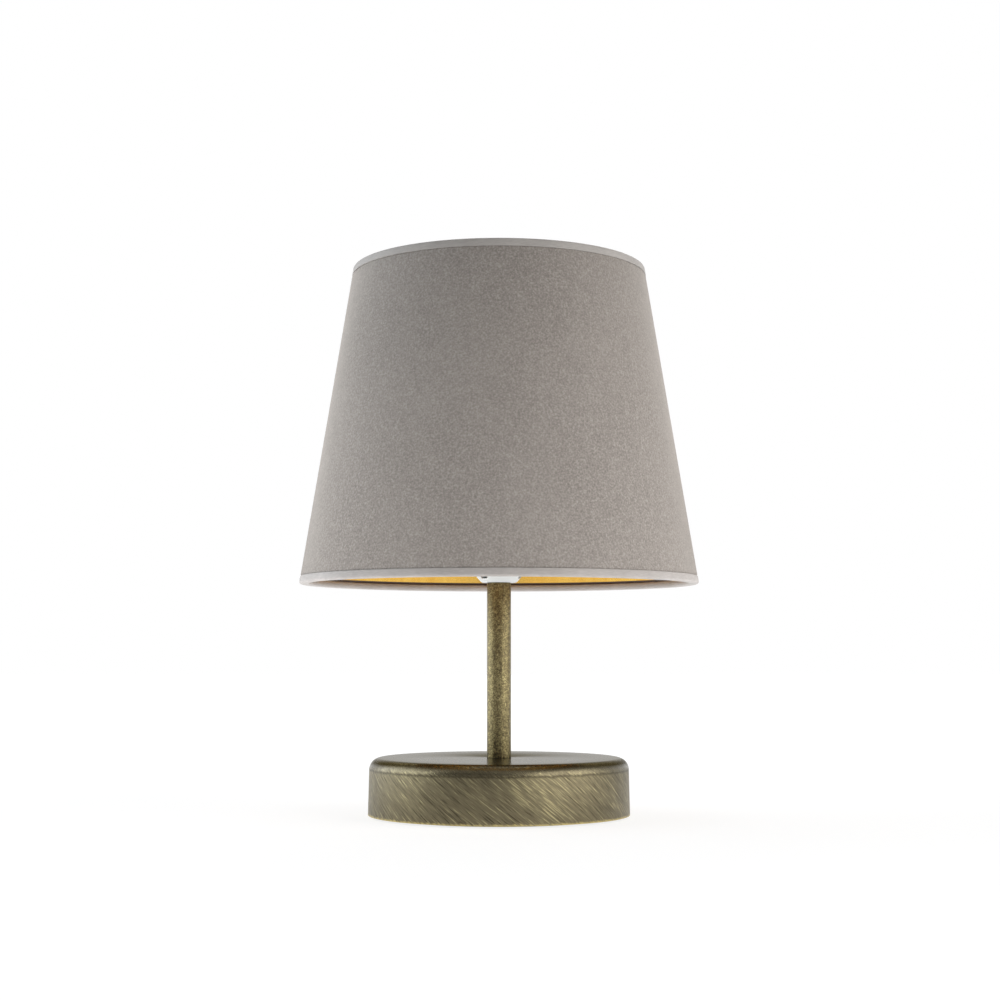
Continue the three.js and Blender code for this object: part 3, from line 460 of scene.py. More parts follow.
@dataclass(frozen=True)
class Finish(ABC):
    """A surface finish, made into a material once and used on many pieces."""

    name: str

    @abstractmethod
    def paint(self, graph: Graph) -> None:
        """Adds the finish's nodes to a new material."""

    @cache
    def material(self) -> bpy.types.Material:
        """Makes the finish's material, once for all its pieces."""
        graph = Graph(self.name)
        self.paint(graph)
        return graph.material


@dataclass(frozen=True)
class Velvet(Finish):
    """Short-pile velvet: soft clouds where the pile was brushed, over a fine grain."""

    shadow: Screen = (109, 104, 100)
    middle: Screen = (155, 148, 142)
    light: Screen = (197, 190, 184)
    cloud_scale: float = 16
    pile_scale: float = 620
    fleck_scale: float = 1150
    sheen: Screen = (222, 216, 210)

    def paint(self, graph: Graph) -> None:
        """Adds the pile's clouds, grain and sheen."""
        clouds = graph.noise(graph.stretched(graph.place, 1, 1, 0.6), self.cloud_scale, 4, 0.6)
        patches = graph.noise(graph.place, self.cloud_scale * 12, 4, 0.65)
        pile = graph.noise(graph.place, self.pile_scale, 2, 0.6)
        flecks = graph.noise(graph.place, self.fleck_scale, 1, 0.5)
        grain = graph.weighed((pile, 0.25), (flecks, 0.75))
        unevenness = graph.spread(clouds, 1.25, 0.75)
        brushed = graph.math("MULTIPLY", graph.math("SUBTRACT", grain, 0.5), unevenness)
        tone = graph.weighed((clouds, 0.16), (patches, 0.14), (graph.math("ADD", brushed, 0.5), 0.7))
        shade = graph.ramp(
            graph.levels(tone, 0.17, 0.83), (0.0, self.shadow), (0.5, self.middle), (1.0, self.light)
        )
        graph.feed(
            Base_Color=shade,
            Roughness=0.92,
            Specular_IOR_Level=0.15,
            Sheen_Weight=0.9,
            Sheen_Roughness=0.4,
            Sheen_Tint=colour(self.sheen),
        )
        graph.bump(grain, 0.15)


@dataclass(frozen=True)
class Tape(Finish):
    """Smooth woven tape, pressed flat round the shade's edges."""

    dark: Screen = (168, 162, 158)
    light: Screen = (197, 191, 187)

    def paint(self, graph: Graph) -> None:
        """Adds the fine ribs that run along the tape, and a little soiling."""
        ribs = graph.noise(graph.stretched(graph.place, 0.12, 0.12, 1), 2600, 2)
        threads = graph.noise(graph.place, 1500, 2)
        soiling = graph.noise(graph.place, 45, 3)
        tone = graph.weighed((ribs, 0.5), (soiling, 0.5))
        graph.feed(
            Base_Color=graph.two_tone(tone, self.dark, self.light),
            Roughness=graph.spread(threads, 0.5, 0.68),
            Specular_IOR_Level=0.3,
            Sheen_Weight=0.15,
        )
        graph.bump(ribs, 0.08)
        graph.bump(threads, 0.05)


@dataclass(frozen=True)
class GoldFilm(Finish):
    """Satin gold film on the lining, with faint press marks and a painted brown shadow line at its
    foot.
    """

    deep: Screen = (228, 173, 68)
    bright: Screen = (246, 205, 106)
    # colour and top height of the painted shadow line, where the trim's roll shades the lining's foot
    painted_shadow: Screen = (78, 54, 40)
    shadow_top: float = 119.5

    def paint(self, graph: Graph) -> None:
        """Adds the film's clouds, its soft gloss and the painted shadow line."""
        clouds = graph.noise(graph.stretched(graph.place, 1, 1, 0.4), 30, 3)
        grain = graph.noise(graph.place, 1400, 2)
        streaks = graph.noise(graph.stretched(graph.place, 1, 1, 0.05), 260, 2)
        tone = graph.weighed((clouds, 0.6), (streaks, 0.4))
        film = graph.two_tone(tone, self.deep, self.bright)
        # painted shadow: a brown, less metallic band at the foot of the lining
        shadowed = graph.levels(graph.height(), self.shadow_top * MM, (self.shadow_top - 0.2) * MM)
        graph.feed(
            Base_Color=graph.mix(shadowed, film, colour(self.painted_shadow)),
            Metallic=graph.levels(shadowed, 0, 1, 0.8, 0.0),
            Roughness=graph.spread(clouds, 0.23, 0.27),
        )
        graph.bump(grain, 0.0015)


@dataclass(frozen=True)
class BrushedPatina(Finish):
    """Antique brass of the base: slanting brush strokes on the side and a satin top."""

    radius: float = 65  # of the side that the strokes go round
    slant: float = 52  # degrees between a stroke and the upright
    top: float = 28.8
    edge: float = 5.5
    dark: Screen = (62, 56, 42)
    middle: Screen = (112, 104, 82)
    light: Screen = (172, 162, 122)
    satin_dark: Screen = (108, 103, 88)
    satin_light: Screen = (130, 125, 108)
    # colour of the painted shade laid over the whole shoulder
    painted_shoulder_shade: Screen = (84, 78, 62)
    bare: Screen = (200, 182, 124)
    dull_tint: tuple[float, ...] = (0.42, 0.4, 0.345, 1.0)  # tint of the reflection at the top edge
    broad_scale: float = 860
    fine_scale: float = 2100
    wander: float = 3.4  # how far the dark lines stray up and down

    def paint(self, graph: Graph) -> None:
        """Adds the strokes, the satin top, painted shade over the shoulder and along its upper edge, a
        dark line at its foot and a bare lower rim.
        """
        height = graph.height()
        lean = math.tan(math.radians(self.slant)) / (self.radius * MM)
        twisted = graph.add(
            "ShaderNodeVectorRotate",
            {"Vector": graph.place, "Angle": graph.math("MULTIPLY", height, lean)},
            rotation_type="Z_AXIS",
        ).outputs[0]
        along = graph.stretched(twisted, 1, 1, 0.1)
        broad = graph.noise(along, self.broad_scale, 3, 0.6)
        fine = graph.noise(along, self.fine_scale, 2, 0.6)
        clouds = graph.noise(graph.place, 42, 3)
        strokes = graph.weighed((broad, 0.36), (fine, 0.48), (clouds, 0.16))
        side = graph.ramp(
            graph.levels(strokes, 0.37, 0.64),
            (0.0, self.dark), (0.42, self.middle), (0.62, self.middle), (1.0, self.light),
        )
        swirl = graph.noise(graph.stretched(graph.place, 1, 0.35, 1), 60, 4)
        satin = graph.two_tone(swirl, self.satin_dark, self.satin_light)
        shoulder = self.top - self.edge
        on_top = graph.levels(height, (self.top - 0.9) * MM, (self.top - 0.15) * MM)
        on_shoulder = graph.levels(height, shoulder * MM, (shoulder + 1.4) * MM)
        dulled = graph.levels(height, (self.top - 3.2) * MM, (self.top - 1.8) * MM)
        wobble = graph.math("MULTIPLY", graph.math("SUBTRACT", broad, 0.5), self.wander * MM)
        level = graph.math("ADD", height, wobble)
        shade = graph.mix(on_top, side, satin)
        for line, reach, share, tint in (
            # painted shade over the whole shoulder, which darkens the softboxes' reflections there
            (self.top - self.edge / 2, 3.6, 0.62, self.painted_shoulder_shade),
            (shoulder, 0.8, 0.8, self.dark),
            # painted shade along the upper edge, laid over the reflection of the lampshade's lit gold
            # inside
            (self.top - 1.6, 2.2, 0.96, self.dark),
        ):
            away = graph.math("ABSOLUTE", graph.math("SUBTRACT", level, line * MM))
            shade = graph.mix(graph.levels(away, reach * MM, 0, 0, share), shade, colour(tint))
        rim = graph.levels(level, 1.8 * MM, 1 * MM, 0, 0.8)
        rough = graph.spread(fine, 0.52, 0.36)
        glossy = graph.levels(strokes, 0.42, 0.58, 0.38, 0.12)
        graph.feed(
            Base_Color=graph.mix(rim, shade, colour(self.bare)),
            Metallic=0.92,
            Roughness=graph.blend(on_top, graph.blend(on_shoulder, rough, glossy), 0.2),
            Specular_Tint=graph.mix(dulled, (1.0, 1.0, 1.0, 1.0), self.dull_tint),
        )
        graph.bump(graph.math("MULTIPLY", strokes, graph.math("SUBTRACT", 1.0, on_top)), 0.16)


@dataclass(frozen=True)
class GrainedPatina(Finish):
    """Antique brass of the stem: a mottled grain, as sprayed lacquer dries."""

    dark: Screen = (70, 63, 46)
    middle: Screen = (120, 109, 77)
    light: Screen = (182, 171, 124)

    def paint(self, graph: Graph) -> None:
        """Adds two sizes of mottling, and gloss that follows them."""
        mottle = graph.noise(graph.place, 700, 3, 0.65)
        grain = graph.noise(graph.place, 1900, 2, 0.6)
        clouds = graph.noise(graph.place, 90, 3)
        tone = graph.weighed((mottle, 0.4), (grain, 0.5), (clouds, 0.1))
        graph.feed(
            Base_Color=graph.ramp(
                graph.levels(tone, 0.39, 0.63), (0.0, self.dark), (0.5, self.middle), (1.0, self.light)
            ),
            Metallic=0.85,
            Roughness=graph.spread(mottle, 0.34, 0.5),
        )
        graph.bump(tone, 0.12)


@dataclass(frozen=True)
class Metal(Finish):
    """A plain metal with a fine grain, marks along it and uneven gloss."""

    dark: Screen
    light: Screen
    roughness: float = 0.35
    grain_scale: float = 900
    relief: float = 0.03
    metallic: float = 1.0

    def paint(self, graph: Graph) -> None:
        """Adds the grain, the marks and the gloss."""
        grain = graph.noise(graph.place, self.grain_scale, 3)
        marks = graph.noise(graph.stretched(graph.place, 1, 1, 0.15), self.grain_scale / 3, 3)
        graph.feed(
            Base_Color=graph.two_tone(marks, self.dark, self.light),
            Metallic=self.metallic,
            Roughness=graph.spread(grain, self.roughness - 0.06, self.roughness + 0.08),
        )
        graph.bump(grain, self.relief)


@dataclass(frozen=True)
class ThreadedSteel(Metal):
    """A plain metal whose surface is a fine rolled thread along Z."""

    pitch: float = 1.0

    def paint(self, graph: Graph) -> None:
        """Adds the metal, and relief that repeats once in each pitch."""
        super().paint(graph)
        turn = graph.math("MULTIPLY", graph.height(), 2 * math.pi / (self.pitch * MM))
        graph.bump(graph.math("SINE", turn), 0.25)


@dataclass(frozen=True)
class Moulded(Finish):
    """Moulded plastic, rubber, glass or paint, with a fine texture and a little unevenness."""

    dark: Screen
    light: Screen
    roughness: float = 0.35
    texture_scale: float = 1600
    relief: float = 0.02
    coat: float = 0.0

    def paint(self, graph: Graph) -> None:
        """Adds the texture, the unevenness and the gloss."""
        texture = graph.noise(graph.place, self.texture_scale, 2)
        uneven = graph.noise(graph.place, 60, 3)
        graph.feed(
            Base_Color=graph.two_tone(uneven, self.dark, self.light),
            Roughness=graph.spread(texture, self.roughness - 0.05, self.roughness + 0.06),
            Coat_Weight=self.coat,
            Coat_Roughness=0.12,
        )
        graph.bump(texture, self.relief)


@dataclass(frozen=True)
class Felt(Finish):
    """Pressed felt with crossing fibres."""

    dark: Screen = (26, 25, 26)
    light: Screen = (62, 60, 60)

    def paint(self, graph: Graph) -> None:
        """Adds fibres in two directions, and their fuzz."""
        along = graph.noise(graph.stretched(graph.place, 1, 0.12, 1), 900, 3)
        across = graph.noise(graph.stretched(graph.place, 0.12, 1, 1), 900, 3)
        fibres = graph.math("MAXIMUM", along, across)
        graph.feed(
            Base_Color=graph.ramp(
                graph.levels(fibres, 0.42, 0.75), (0.0, self.dark), (1.0, self.light)
            ),
            Roughness=0.95,
            Specular_IOR_Level=0.1,
            Sheen_Weight=0.3,
        )
        graph.bump(fibres, 0.3)


VELVET = Velvet("taupe_velvet")
TAPE = Tape("grey_tape")
# the upper trim is the same tape, given darker colours as painted shade
PAINTED_SHADE_TAPE = Tape("grey_tape_top", (149, 145, 141), (177, 172, 168))
GOLD_FILM = GoldFilm("gold_film")
BRUSHED_PATINA = BrushedPatina("brushed_patina")
GRAINED_PATINA = GrainedPatina("grained_patina")
ZINC = Metal("zinc", (150, 152, 155), (196, 198, 200), 0.38)
THREADED_ZINC = ThreadedSteel("threaded_zinc", (150, 152, 155), (192, 194, 196), 0.4)
NICKEL = Metal("nickel", (172, 168, 160), (212, 209, 202), 0.24)
BRASS = Metal("plain_brass", (176, 138, 62), (214, 178, 96), 0.3)
IRON = Metal("rough_iron", (52, 53, 55), (84, 85, 88), 0.62, 500, 0.2, 0.7)
BLACK_STEEL = Metal("blacked_steel", (30, 30, 31), (52, 52, 54), 0.5, 800, 0.05, 0.5)
WHITE_PLASTIC = Moulded("moulded_white", (229, 234, 236), (237, 242, 244), 0.36)
IVORY_BLOCK = Moulded("ivory_block", (216, 212, 200), (232, 229, 218), 0.42, 1200, 0.03)
WHITE_PAINT = Moulded("sprayed_white", (218, 218, 215), (236, 236, 233), 0.42, 420, 0.06)
OPAL_GLASS = Moulded("opal_glass", (240, 238, 231), (248, 247, 242), 0.22, 300, 0.01, 0.5)
BLACK_GLASS = Moulded("dark_glass", (18, 18, 22), (30, 30, 36), 0.16, 500, 0.02, 0.6)
RUBBER = Moulded("soft_rubber", (24, 24, 25), (42, 42, 43), 0.66, 1800, 0.05)
BROWN_SLEEVE = Moulded("brown_sleeve", (92, 52, 28), (116, 68, 38), 0.42)
BLUE_SLEEVE = Moulded("blue_sleeve", (40, 88, 158), (58, 110, 184), 0.42)
GREEN_SLEEVE = Moulded("green_sleeve", (112, 142, 36), (146, 172, 52), 0.42)
FELT = Felt("pressed_felt")


# Sub-assemblies


class SubAssembly(ABC):
    """Some of the lamp's pieces, modelled and dressed together."""

    @abstractmethod
    def build(self) -> None:
        """Models the new pieces and dresses the CAD nodes that stay in view."""

    def deliver(
        self,
        piece: Object,
        finish: Finish,
        body: Body,
        slot: Slot,
        *stands_for: str,
        smooth: float = 38,
    ) -> Object:
        """Finishes a piece and lets it ride on its body.

        Args:
            piece: The modelled piece.
            finish: What it is dressed in.
            body: The body that it rides on.
            slot: The record's slot that its finish belongs to. It is not used.
            stands_for: The CAD nodes that it replaces.
            smooth: Edges flatter than this many degrees are shaded smooth.

        Returns:
            The piece.
        """
        settled(piece)
        bpy.ops.object.shade_smooth_by_angle(angle=math.radians(smooth))
        piece.data.materials.clear()
        piece.data.materials.append(finish.material())
        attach(piece, body.value)
        if stands_for:
            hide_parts(*stands_for)
        faces = len(piece.data.polygons)
        log.info("%s: %d faces, in %s, on %s", piece.name, faces, finish.name, body.value)
        return piece

    def dress(self, finish: Finish, *nodes: str) -> None:
        """Gives CAD nodes a finish."""
        for node in nodes:
            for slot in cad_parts[node].material_slots:
                slot.material = finish.material()
            log.info("%s: CAD node, in %s", node, finish.name)


@dataclass
class Base(SubAssembly):
    """The weighted base: drawn cover, cable inlet, plate and felt, with the fittings inside."""

    radius: float = 65
    rim: float = 0.8
    top: float = 28.8
    draft: float = 0.6
    edge: float = 5.5
    wall: float = 1.2
    stem_hole: float = 5.2
    inlet_hole: float = 4.9
    inlet_height: float = 11.45
    bush_start: float = 61.36  # distance of its inner end from the lamp's axis
    bush_bore: float = 3.6
    bush_neck: float = 4.6
    bush_flange: float = 6.4
    bush_lip: float = 1.6
    plate_radius: float = 63.2
    plate_bottom: float = 1.8
    plate_top: float = 3.3
    felt_radius: float = 59
    sides: int = 192

    def cover(self) -> Object:
        """Models the cover from a disc: tapered, rounded at the top, hollow below and pierced."""
        height = self.top - self.rim
        piece = started(
            bpy.ops.mesh.primitive_cylinder_add, "cover", vertices=self.sides, radius=self.radius * MM,
            depth=height * MM, location=(0, 0, (self.rim + height / 2) * MM),
        )
        with editing(piece):
            choose(piece, "FACE", lambda _, normal: normal.z < -0.9)
            bpy.ops.mesh.delete(type="FACE")
            choose(piece, "FACE", lambda _, normal: normal.z > 0.9)
            share = 1 - self.draft / self.radius
            bpy.ops.transform.resize(value=(share, share, 1), center_override=(0, 0, self.top * MM))
            bpy.ops.mesh.bevel(offset=self.edge * MM, segments=12, affect="EDGES")
            choose(piece, "FACE", lambda at, normal: normal.z > 0.99 and at.z > self.top - 0.01)
            bpy.ops.mesh.inset(thickness=(self.radius - self.draft - self.edge - self.stem_hole) * MM)
            bpy.ops.mesh.delete(type="FACE")
        walled(piece, self.wall)
        hole = started(
            bpy.ops.mesh.primitive_cylinder_add, "hole", vertices=64, radius=self.inlet_hole * MM,
            depth=8 * MM, location=(0, self.radius * MM, self.inlet_height * MM),
            rotation=(math.pi / 2, 0, 0),
        )
        return eased(cut(piece, hole), 0.22, 2, 60)

    def bush(self) -> Object:
        """Models the rubber bush that lines the cable inlet, turned to face the rear."""
        inner, outer = self.bush_start, self.radius + 0.15
        piece = turned(
            "inlet_bush",
            [
                (self.bush_bore, inner, 0.4), (self.bush_flange, inner, 0.5),
                (self.bush_flange, inner + self.bush_lip, 0.3), (self.bush_neck, inner + self.bush_lip),
                (self.bush_neck, outer), (self.bush_flange, outer, 0.2),
                (self.bush_flange - 0.8, outer + self.bush_lip, 0.6),
                (self.bush_bore, outer + self.bush_lip, 0.5),
            ],
            64,
        )
        settled(piece)
        piece.rotation_euler = (-math.pi / 2, 0, 0)
        piece.location.z = self.inlet_height * MM
        return piece

    def plate(self) -> Object:
        """Models the plate that closes the base."""
        low, high = self.plate_bottom, self.plate_top
        corners = [(0, low), (self.plate_radius, low, 0.4), (self.plate_radius, high, 0.4), (0, high)]
        return turned("plate", corners, 128, closed=False)

    def felt(self) -> Object:
        """Models the felt that the lamp stands on, with a slightly crushed rim."""
        thick, radius = self.plate_bottom, self.felt_radius
        corners = [
            (0, 0), (radius - 0.7, 0, 0.3), (radius, 0.5, 0.4), (radius, thick - 0.2, 0.3),
            (radius - 0.5, thick), (0, thick),
        ]
        return turned("felt", corners, 128, closed=False)

    def build(self) -> None:
        """Models the base and dresses its inner fittings."""
        self.deliver(
            self.cover(), BRUSHED_PATINA, Body.LAMP, Slot.BRASS_FINISH, "base_cover", smooth=30
        )
        self.deliver(self.bush(), RUBBER, Body.LAMP, Slot.RUBBER, "cable_inlet_bush")
        self.deliver(self.plate(), BLACK_STEEL, Body.LAMP, Slot.BLACK_STEEL, "bottom_plate")
        felt = self.deliver(self.felt(), FELT, Body.LAMP, Slot.FELT, "felt_pad")
        self.dress(IRON, "ballast_disc")
        self.dress(ZINC, *(f"pillar_{i}" for i in (1, 2, 3)), *(f"plate_screw_{i}" for i in (1, 2, 3)))


@dataclass
class Stem(SubAssembly):
    """The stem's outer tube, and the threaded tube and clamp that hold it."""

    radius: float = 6
    bore: float = 5.2
    foot: float = 28.8
    top: float = 115.8

    def tube(self) -> Object:
        """Models the outer tube, with its ends faced off."""
        corners = [
            (self.bore, self.foot), (self.radius, self.foot, 0.15), (self.radius, self.top, 0.3),
            (self.bore, self.top, 0.2),
        ]
        return turned("stem", corners, 96)

    def build(self) -> None:
        """Models the tube and dresses its clamp."""
        self.deliver(self.tube(), GRAINED_PATINA, Body.LAMP, Slot.BRASS_FINISH, "stem_tube")
        self.dress(THREADED_ZINC, "threaded_tube")
        self.dress(ZINC, "clamp_washer", "star_washer", "clamp_nut")


@dataclass
class Wiring(SubAssembly):
    """The terminal strip and leads inside the base."""

    def build(self) -> None:
        """Dresses the strip, its screws and the leads."""
        self.dress(WHITE_PLASTIC, "terminal_strip")
        self.dress(BRASS, "earth_lug", *(f"pole_tube_{i}" for i in (1, 2, 3)))
        screws = [f"pole_screw_{i}_{end}" for i in (1, 2, 3) for end in ("front", "rear")]
        self.dress(ZINC, "strip_screw", "earth_screw", *screws)
        self.dress(BROWN_SLEEVE, "live_lead")
        self.dress(BLUE_SLEEVE, "neutral_lead")
        self.dress(GREEN_SLEEVE, "earth_lead")


@dataclass
class Lampholder(SubAssembly):
    """The white lampholder: cap with windows, threaded sleeve with a seat, and screw shell."""

    foot: float = 115.8
    stem_hole: float = 5.2
    boss: float = 7.2
    boss_top: float = 9
    foot_radius: float = 8.7
    cone_top: float = 11
    radius: float = 19.2
    bore: float = 17.2
    cap_top: float = 24
    ledge: float = 16.2
    seat: float = 29
    seat_radius: float = 23.5
    sleeve_top: float = 59
    lip: float = 14.8
    thread_root: float = 18.5
    thread_pitch: float = 2.6
    window_turns: tuple[float, ...] = (106, 226, 346)
    window_sill: float = 1.9
    window_size: tuple[float, float] = (5, 4.4)
    window_round: float = 1.3
    shell_bore: float = 13.4
    shell_pitch: float = 3.6
    shell_bottom: float = 25
    shell_height: float = 25
    shell_wall: float = 0.25
    shell_hole: float = 9
    sides: int = 96

    def up(self, corners: Sequence[Corner]) -> list[Corner]:
        """Lifts corners that are given above the holder's foot to their height above the table."""
        return lifted(corners, self.foot)

    def cap(self) -> Object:
        """Models the cap with its boss, its ledge and its windows."""
        piece = turned(
            "holder_dome",
            self.up([
                (self.stem_hole, 0), (self.foot_radius, 0, 0.7),
                (self.radius - 0.8, self.cone_top, 1.4), (self.radius, self.cone_top + 1.6, 0.8),
                (self.radius, self.cap_top, 0.3), (self.bore, self.cap_top, 0.2),
                (self.bore, self.ledge), (self.bore - 2, self.ledge, 0.2),
                (self.bore - 2, self.cone_top - 0.8, 1), (self.boss + 0.3, 1.6), (self.boss, 1.6),
                (self.boss, self.boss_top, 0.3), (self.stem_hole, self.boss_top, 0.2),
            ]),
            self.sides,
        )
        width, height = self.window_size
        reach = self.radius
        middle = (self.boss + 0.3 + reach / 2, 0, self.foot + self.window_sill + height / 2)
        window = started(
            bpy.ops.mesh.primitive_cube_add, "window", size=MM, location=[c * MM for c in middle],
            scale=(reach, width, height),
        )
        settled(window)
        with editing(window):
            choose(window, "EDGE", lambda at, _: abs(abs(at.y) - width / 2) < 0.01
                   and abs(abs(at.z - middle[2]) - height / 2) < 0.01)
            bpy.ops.mesh.bevel(offset=self.window_round * MM, segments=6, affect="EDGES")
        return eased(cut(piece, *round_the_axis(window, self.window_turns)), 0.18, 2, 50)

    def sleeve(self) -> Object:
        """Models the sleeve with the seat's collar and its outer thread."""
        body = turned(
            "sleeve_body",
            self.up([
                (self.bore - 1.7, 20), (self.bore - 0.3, 20, 0.2), (self.bore - 0.3, self.cap_top),
                (self.radius, self.cap_top, 0.2), (self.seat_radius, self.seat - 2.5, 0.5),
                (self.seat_radius, self.seat, 0.4), (self.radius, self.seat),
                (self.thread_root, self.seat + 0.8), (self.thread_root, self.sleeve_top, 0.8),
                (self.lip, self.sleeve_top, 0.5), (self.lip, self.sleeve_top - 2, 0.3),
                (self.bore, self.sleeve_top - 2), (self.bore, self.cap_top + 2),
                (self.bore - 1.7, self.cap_top),
            ]),
            self.sides,
        )
        root, crest = self.thread_root - 0.15, self.radius - 0.05
        margin = 1.2  # what the thread leaves free at each end of the sleeve
        low = self.seat + margin
        ridge = threaded(
            "sleeve_thread",
            self.up([(root, low), (crest, low + 0.55), (crest, low + 0.95), (root, low + 1.5)]),
            self.thread_pitch,
            (self.sleeve_top - margin - self.seat - margin - 1.6) / self.thread_pitch,
        )
        return joined("sleeve", body, ridge)

    def shell(self) -> Object:
        """Models the brass shell that the bulb screws into, rolled to a thread."""
        inner, outer = self.shell_bore, self.shell_bore + 0.8
        start, end = self.shell_bottom, self.shell_bottom + self.shell_height
        low = self.shell_bottom + 1.2
        turns = int((self.shell_height - 2.4) / self.shell_pitch)
        wave = [
            (inner + (outer - inner) * (0.5 - 0.5 * math.cos(2 * math.pi * i / 8)),
             self.foot + low + self.shell_pitch * i / 8)
            for i in range(9)
        ]
        rolled = threaded("rolled", wave, self.shell_pitch, turns, closed=False)
        walled(rolled, self.shell_wall, outwards=True)
        top = low + self.shell_pitch * turns
        collar = turned(
            "collar",
            self.up([(inner, top), (outer + 0.02, top), (outer + 0.02, end, 0.1), (inner, end, 0.1)]),
            self.sides,
        )
        foot = turned(
            "shell_foot",
            self.up([
                (self.shell_hole, start), (outer, start), (outer, low + 0.6), (inner + 0.1, low + 0.6),
                (inner, start + 0.4, 0.3), (self.shell_hole, start + 0.4),
            ]),
            self.sides,
        )
        return joined("rolled_shell", rolled, collar, foot)

    def build(self) -> None:
        """Models the visible white parts and the shell, and dresses what they hold."""
        self.deliver(self.cap(), WHITE_PLASTIC, Body.LAMP, Slot.WHITE_PLASTIC, "holder_cap")
        self.deliver(self.sleeve(), WHITE_PLASTIC, Body.LAMP, Slot.WHITE_PLASTIC, "holder_sleeve")
        self.deliver(self.shell(), BRASS, Body.LAMP, Slot.BRASS, "screw_shell", smooth=50)
        self.dress(IVORY_BLOCK, "contact_block")
        self.dress(BRASS, "centre_contact", "neutral_terminal_screw", "live_terminal_screw")
        self.dress(ZINC, "holder_grub_screw")


@dataclass
class RingNut(SubAssembly):
    """The round nut that clamps the shade on its seat."""

    bottom: float = 146.3
    bore: float = 19.5
    flange: float = 28
    flange_thickness: float = 2.6
    hub: float = 23
    height: float = 9
    notches: int = 12
    notch_radius: float = 1.6
    notch_depth: float = 1
    notch_twist: float = 0.07  # radians that the cutting tool is turned by

    def nut(self) -> Object:
        """Models the nut, with grip notches round its flange."""
        low, high = self.bottom, self.bottom + self.height
        step = low + self.flange_thickness
        piece = turned(
            "ring_nut",
            [
                (self.bore, low, 0.4), (self.flange, low, 0.5), (self.flange, step, 0.6),
                (self.hub, step, 1.0), (self.hub, high, 0.8), (self.bore, high, 0.6),
            ],
            144,
        )
        away = self.flange + self.notch_radius - self.notch_depth
        tool = settled(started(
            bpy.ops.mesh.primitive_cylinder_add, "notch", vertices=32, radius=self.notch_radius * MM,
            depth=8 * MM, location=(away * MM, 0, (low + self.flange_thickness / 2) * MM),
            rotation=(0, 0, self.notch_twist),
        ))
        turns = [360 / self.notches * i for i in range(self.notches)]
        return eased(cut(piece, *round_the_axis(tool, turns)), 0.2, 2, 50)

    def build(self) -> None:
        """Models the nut."""
        self.deliver(self.nut(), WHITE_PLASTIC, Body.RING, Slot.WHITE_PLASTIC, "shade_ring_nut")


@dataclass
class Bulb(SubAssembly):
    """A candle bulb with an opal globe over a white housing and a screw cap."""

    tip: float = 145.0
    length: float = 100
    radius: float = 17.5
    wall: float = 1.2
    cap_radius: float = 13
    cap_top: float = 27
    neck: float = 13.6
    housing_top: float = 44
    shoulder: float = 4
    pitch: float = 3.6
    thread_turns: float = 4.1
    taper: float = 0.8  # 0.5 would make the globe's end half an ellipse, and 1 a sharper one
    globe_steps: int = 28
    contact_top: float = 1.2
    glass_top: float = 3.2
    sides: int = 128

    def up(self, corners: Sequence[Corner]) -> list[Corner]:
        """Lifts corners that are given above the bulb's tip to their height above the table."""
        return lifted(corners, self.tip)

    def globe(self) -> Object:
        """Models the globe, a blunt candle flame with a wall."""
        straight = self.housing_top + self.shoulder
        side = [(self.radius, self.housing_top), (self.radius, straight)]
        for i in range(1, self.globe_steps + 1):
            share = math.sin(math.pi / 2 * i / self.globe_steps)
            radius = self.radius * (1 - share**2) ** self.taper if i < self.globe_steps else 0
            side.append((radius, straight + (self.length - straight) * share))
        return walled(turned("globe", self.up(side), self.sides, closed=False), self.wall)

    def housing(self) -> Object:
        """Models the housing, which flares from the cap's neck to the globe."""
        corners = [
            (0, self.cap_top), (self.neck, self.cap_top, 0.3), (self.neck, self.cap_top + 4.4, 2.2),
            (self.radius, self.housing_top - 1.9, 1.6), (self.radius, self.housing_top, 0.15),
            (0, self.housing_top),
        ]
        return turned("housing", self.up(corners), self.sides, closed=False)

    def cap(self) -> Object:
        """Models the screw cap, with its rolled thread."""
        root, crest, rim = self.cap_radius - 0.75, self.cap_radius - 0.02, self.cap_radius - 0.1
        core = turned(
            "cap_core",
            self.up([
                (0, self.glass_top), (8.4, self.glass_top), (self.cap_radius - 1, 6.2, 0.8),
                (root, 7.4), (root, 24.6), (rim, 25.6), (rim, self.cap_top, 0.2), (0, self.cap_top),
            ]),
            self.sides,
            closed=False,
        )
        low = 7.2
        ridge = threaded(
            "cap_thread",
            self.up([
                (root - 0.1, low), (root + 0.25, low + 0.45), (crest, low + 1.0), (crest, low + 1.4),
                (root + 0.25, low + 1.95), (root - 0.1, low + 2.4),
            ]),
            self.pitch,
            self.thread_turns,
        )
        return joined("screw_cap", core, ridge)

    def small_parts(self) -> tuple[Object, Object]:
        """Models the tip contact and the glass round it."""
        low, high = self.contact_top, self.glass_top
        tip = turned("tip", self.up([(0, 0), (2.9, 0, 0.6), (3.98, low), (0, low)]), 48, closed=False)
        corners = [(0, low), (4.6, low, 0.2), (8.38, high), (0, high)]
        glass = turned("tip_glass", self.up(corners), 96, closed=False)
        return tip, glass

    def build(self) -> None:
        """Models the whole bulb."""
        tip, glass = self.small_parts()
        self.deliver(self.globe(), OPAL_GLASS, Body.BULB, Slot.OPAL, "bulb_globe")
        self.deliver(self.housing(), WHITE_PLASTIC, Body.BULB, Slot.WHITE_PLASTIC, "bulb_housing")
        self.deliver(self.cap(), NICKEL, Body.BULB, Slot.ZINC, "bulb_cap", smooth=50)
        self.deliver(tip, ZINC, Body.BULB, Slot.ZINC, "bulb_tip_contact")
        self.deliver(glass, BLACK_GLASS, Body.BULB, Slot.BLACK_GLASS, "bulb_insulator")


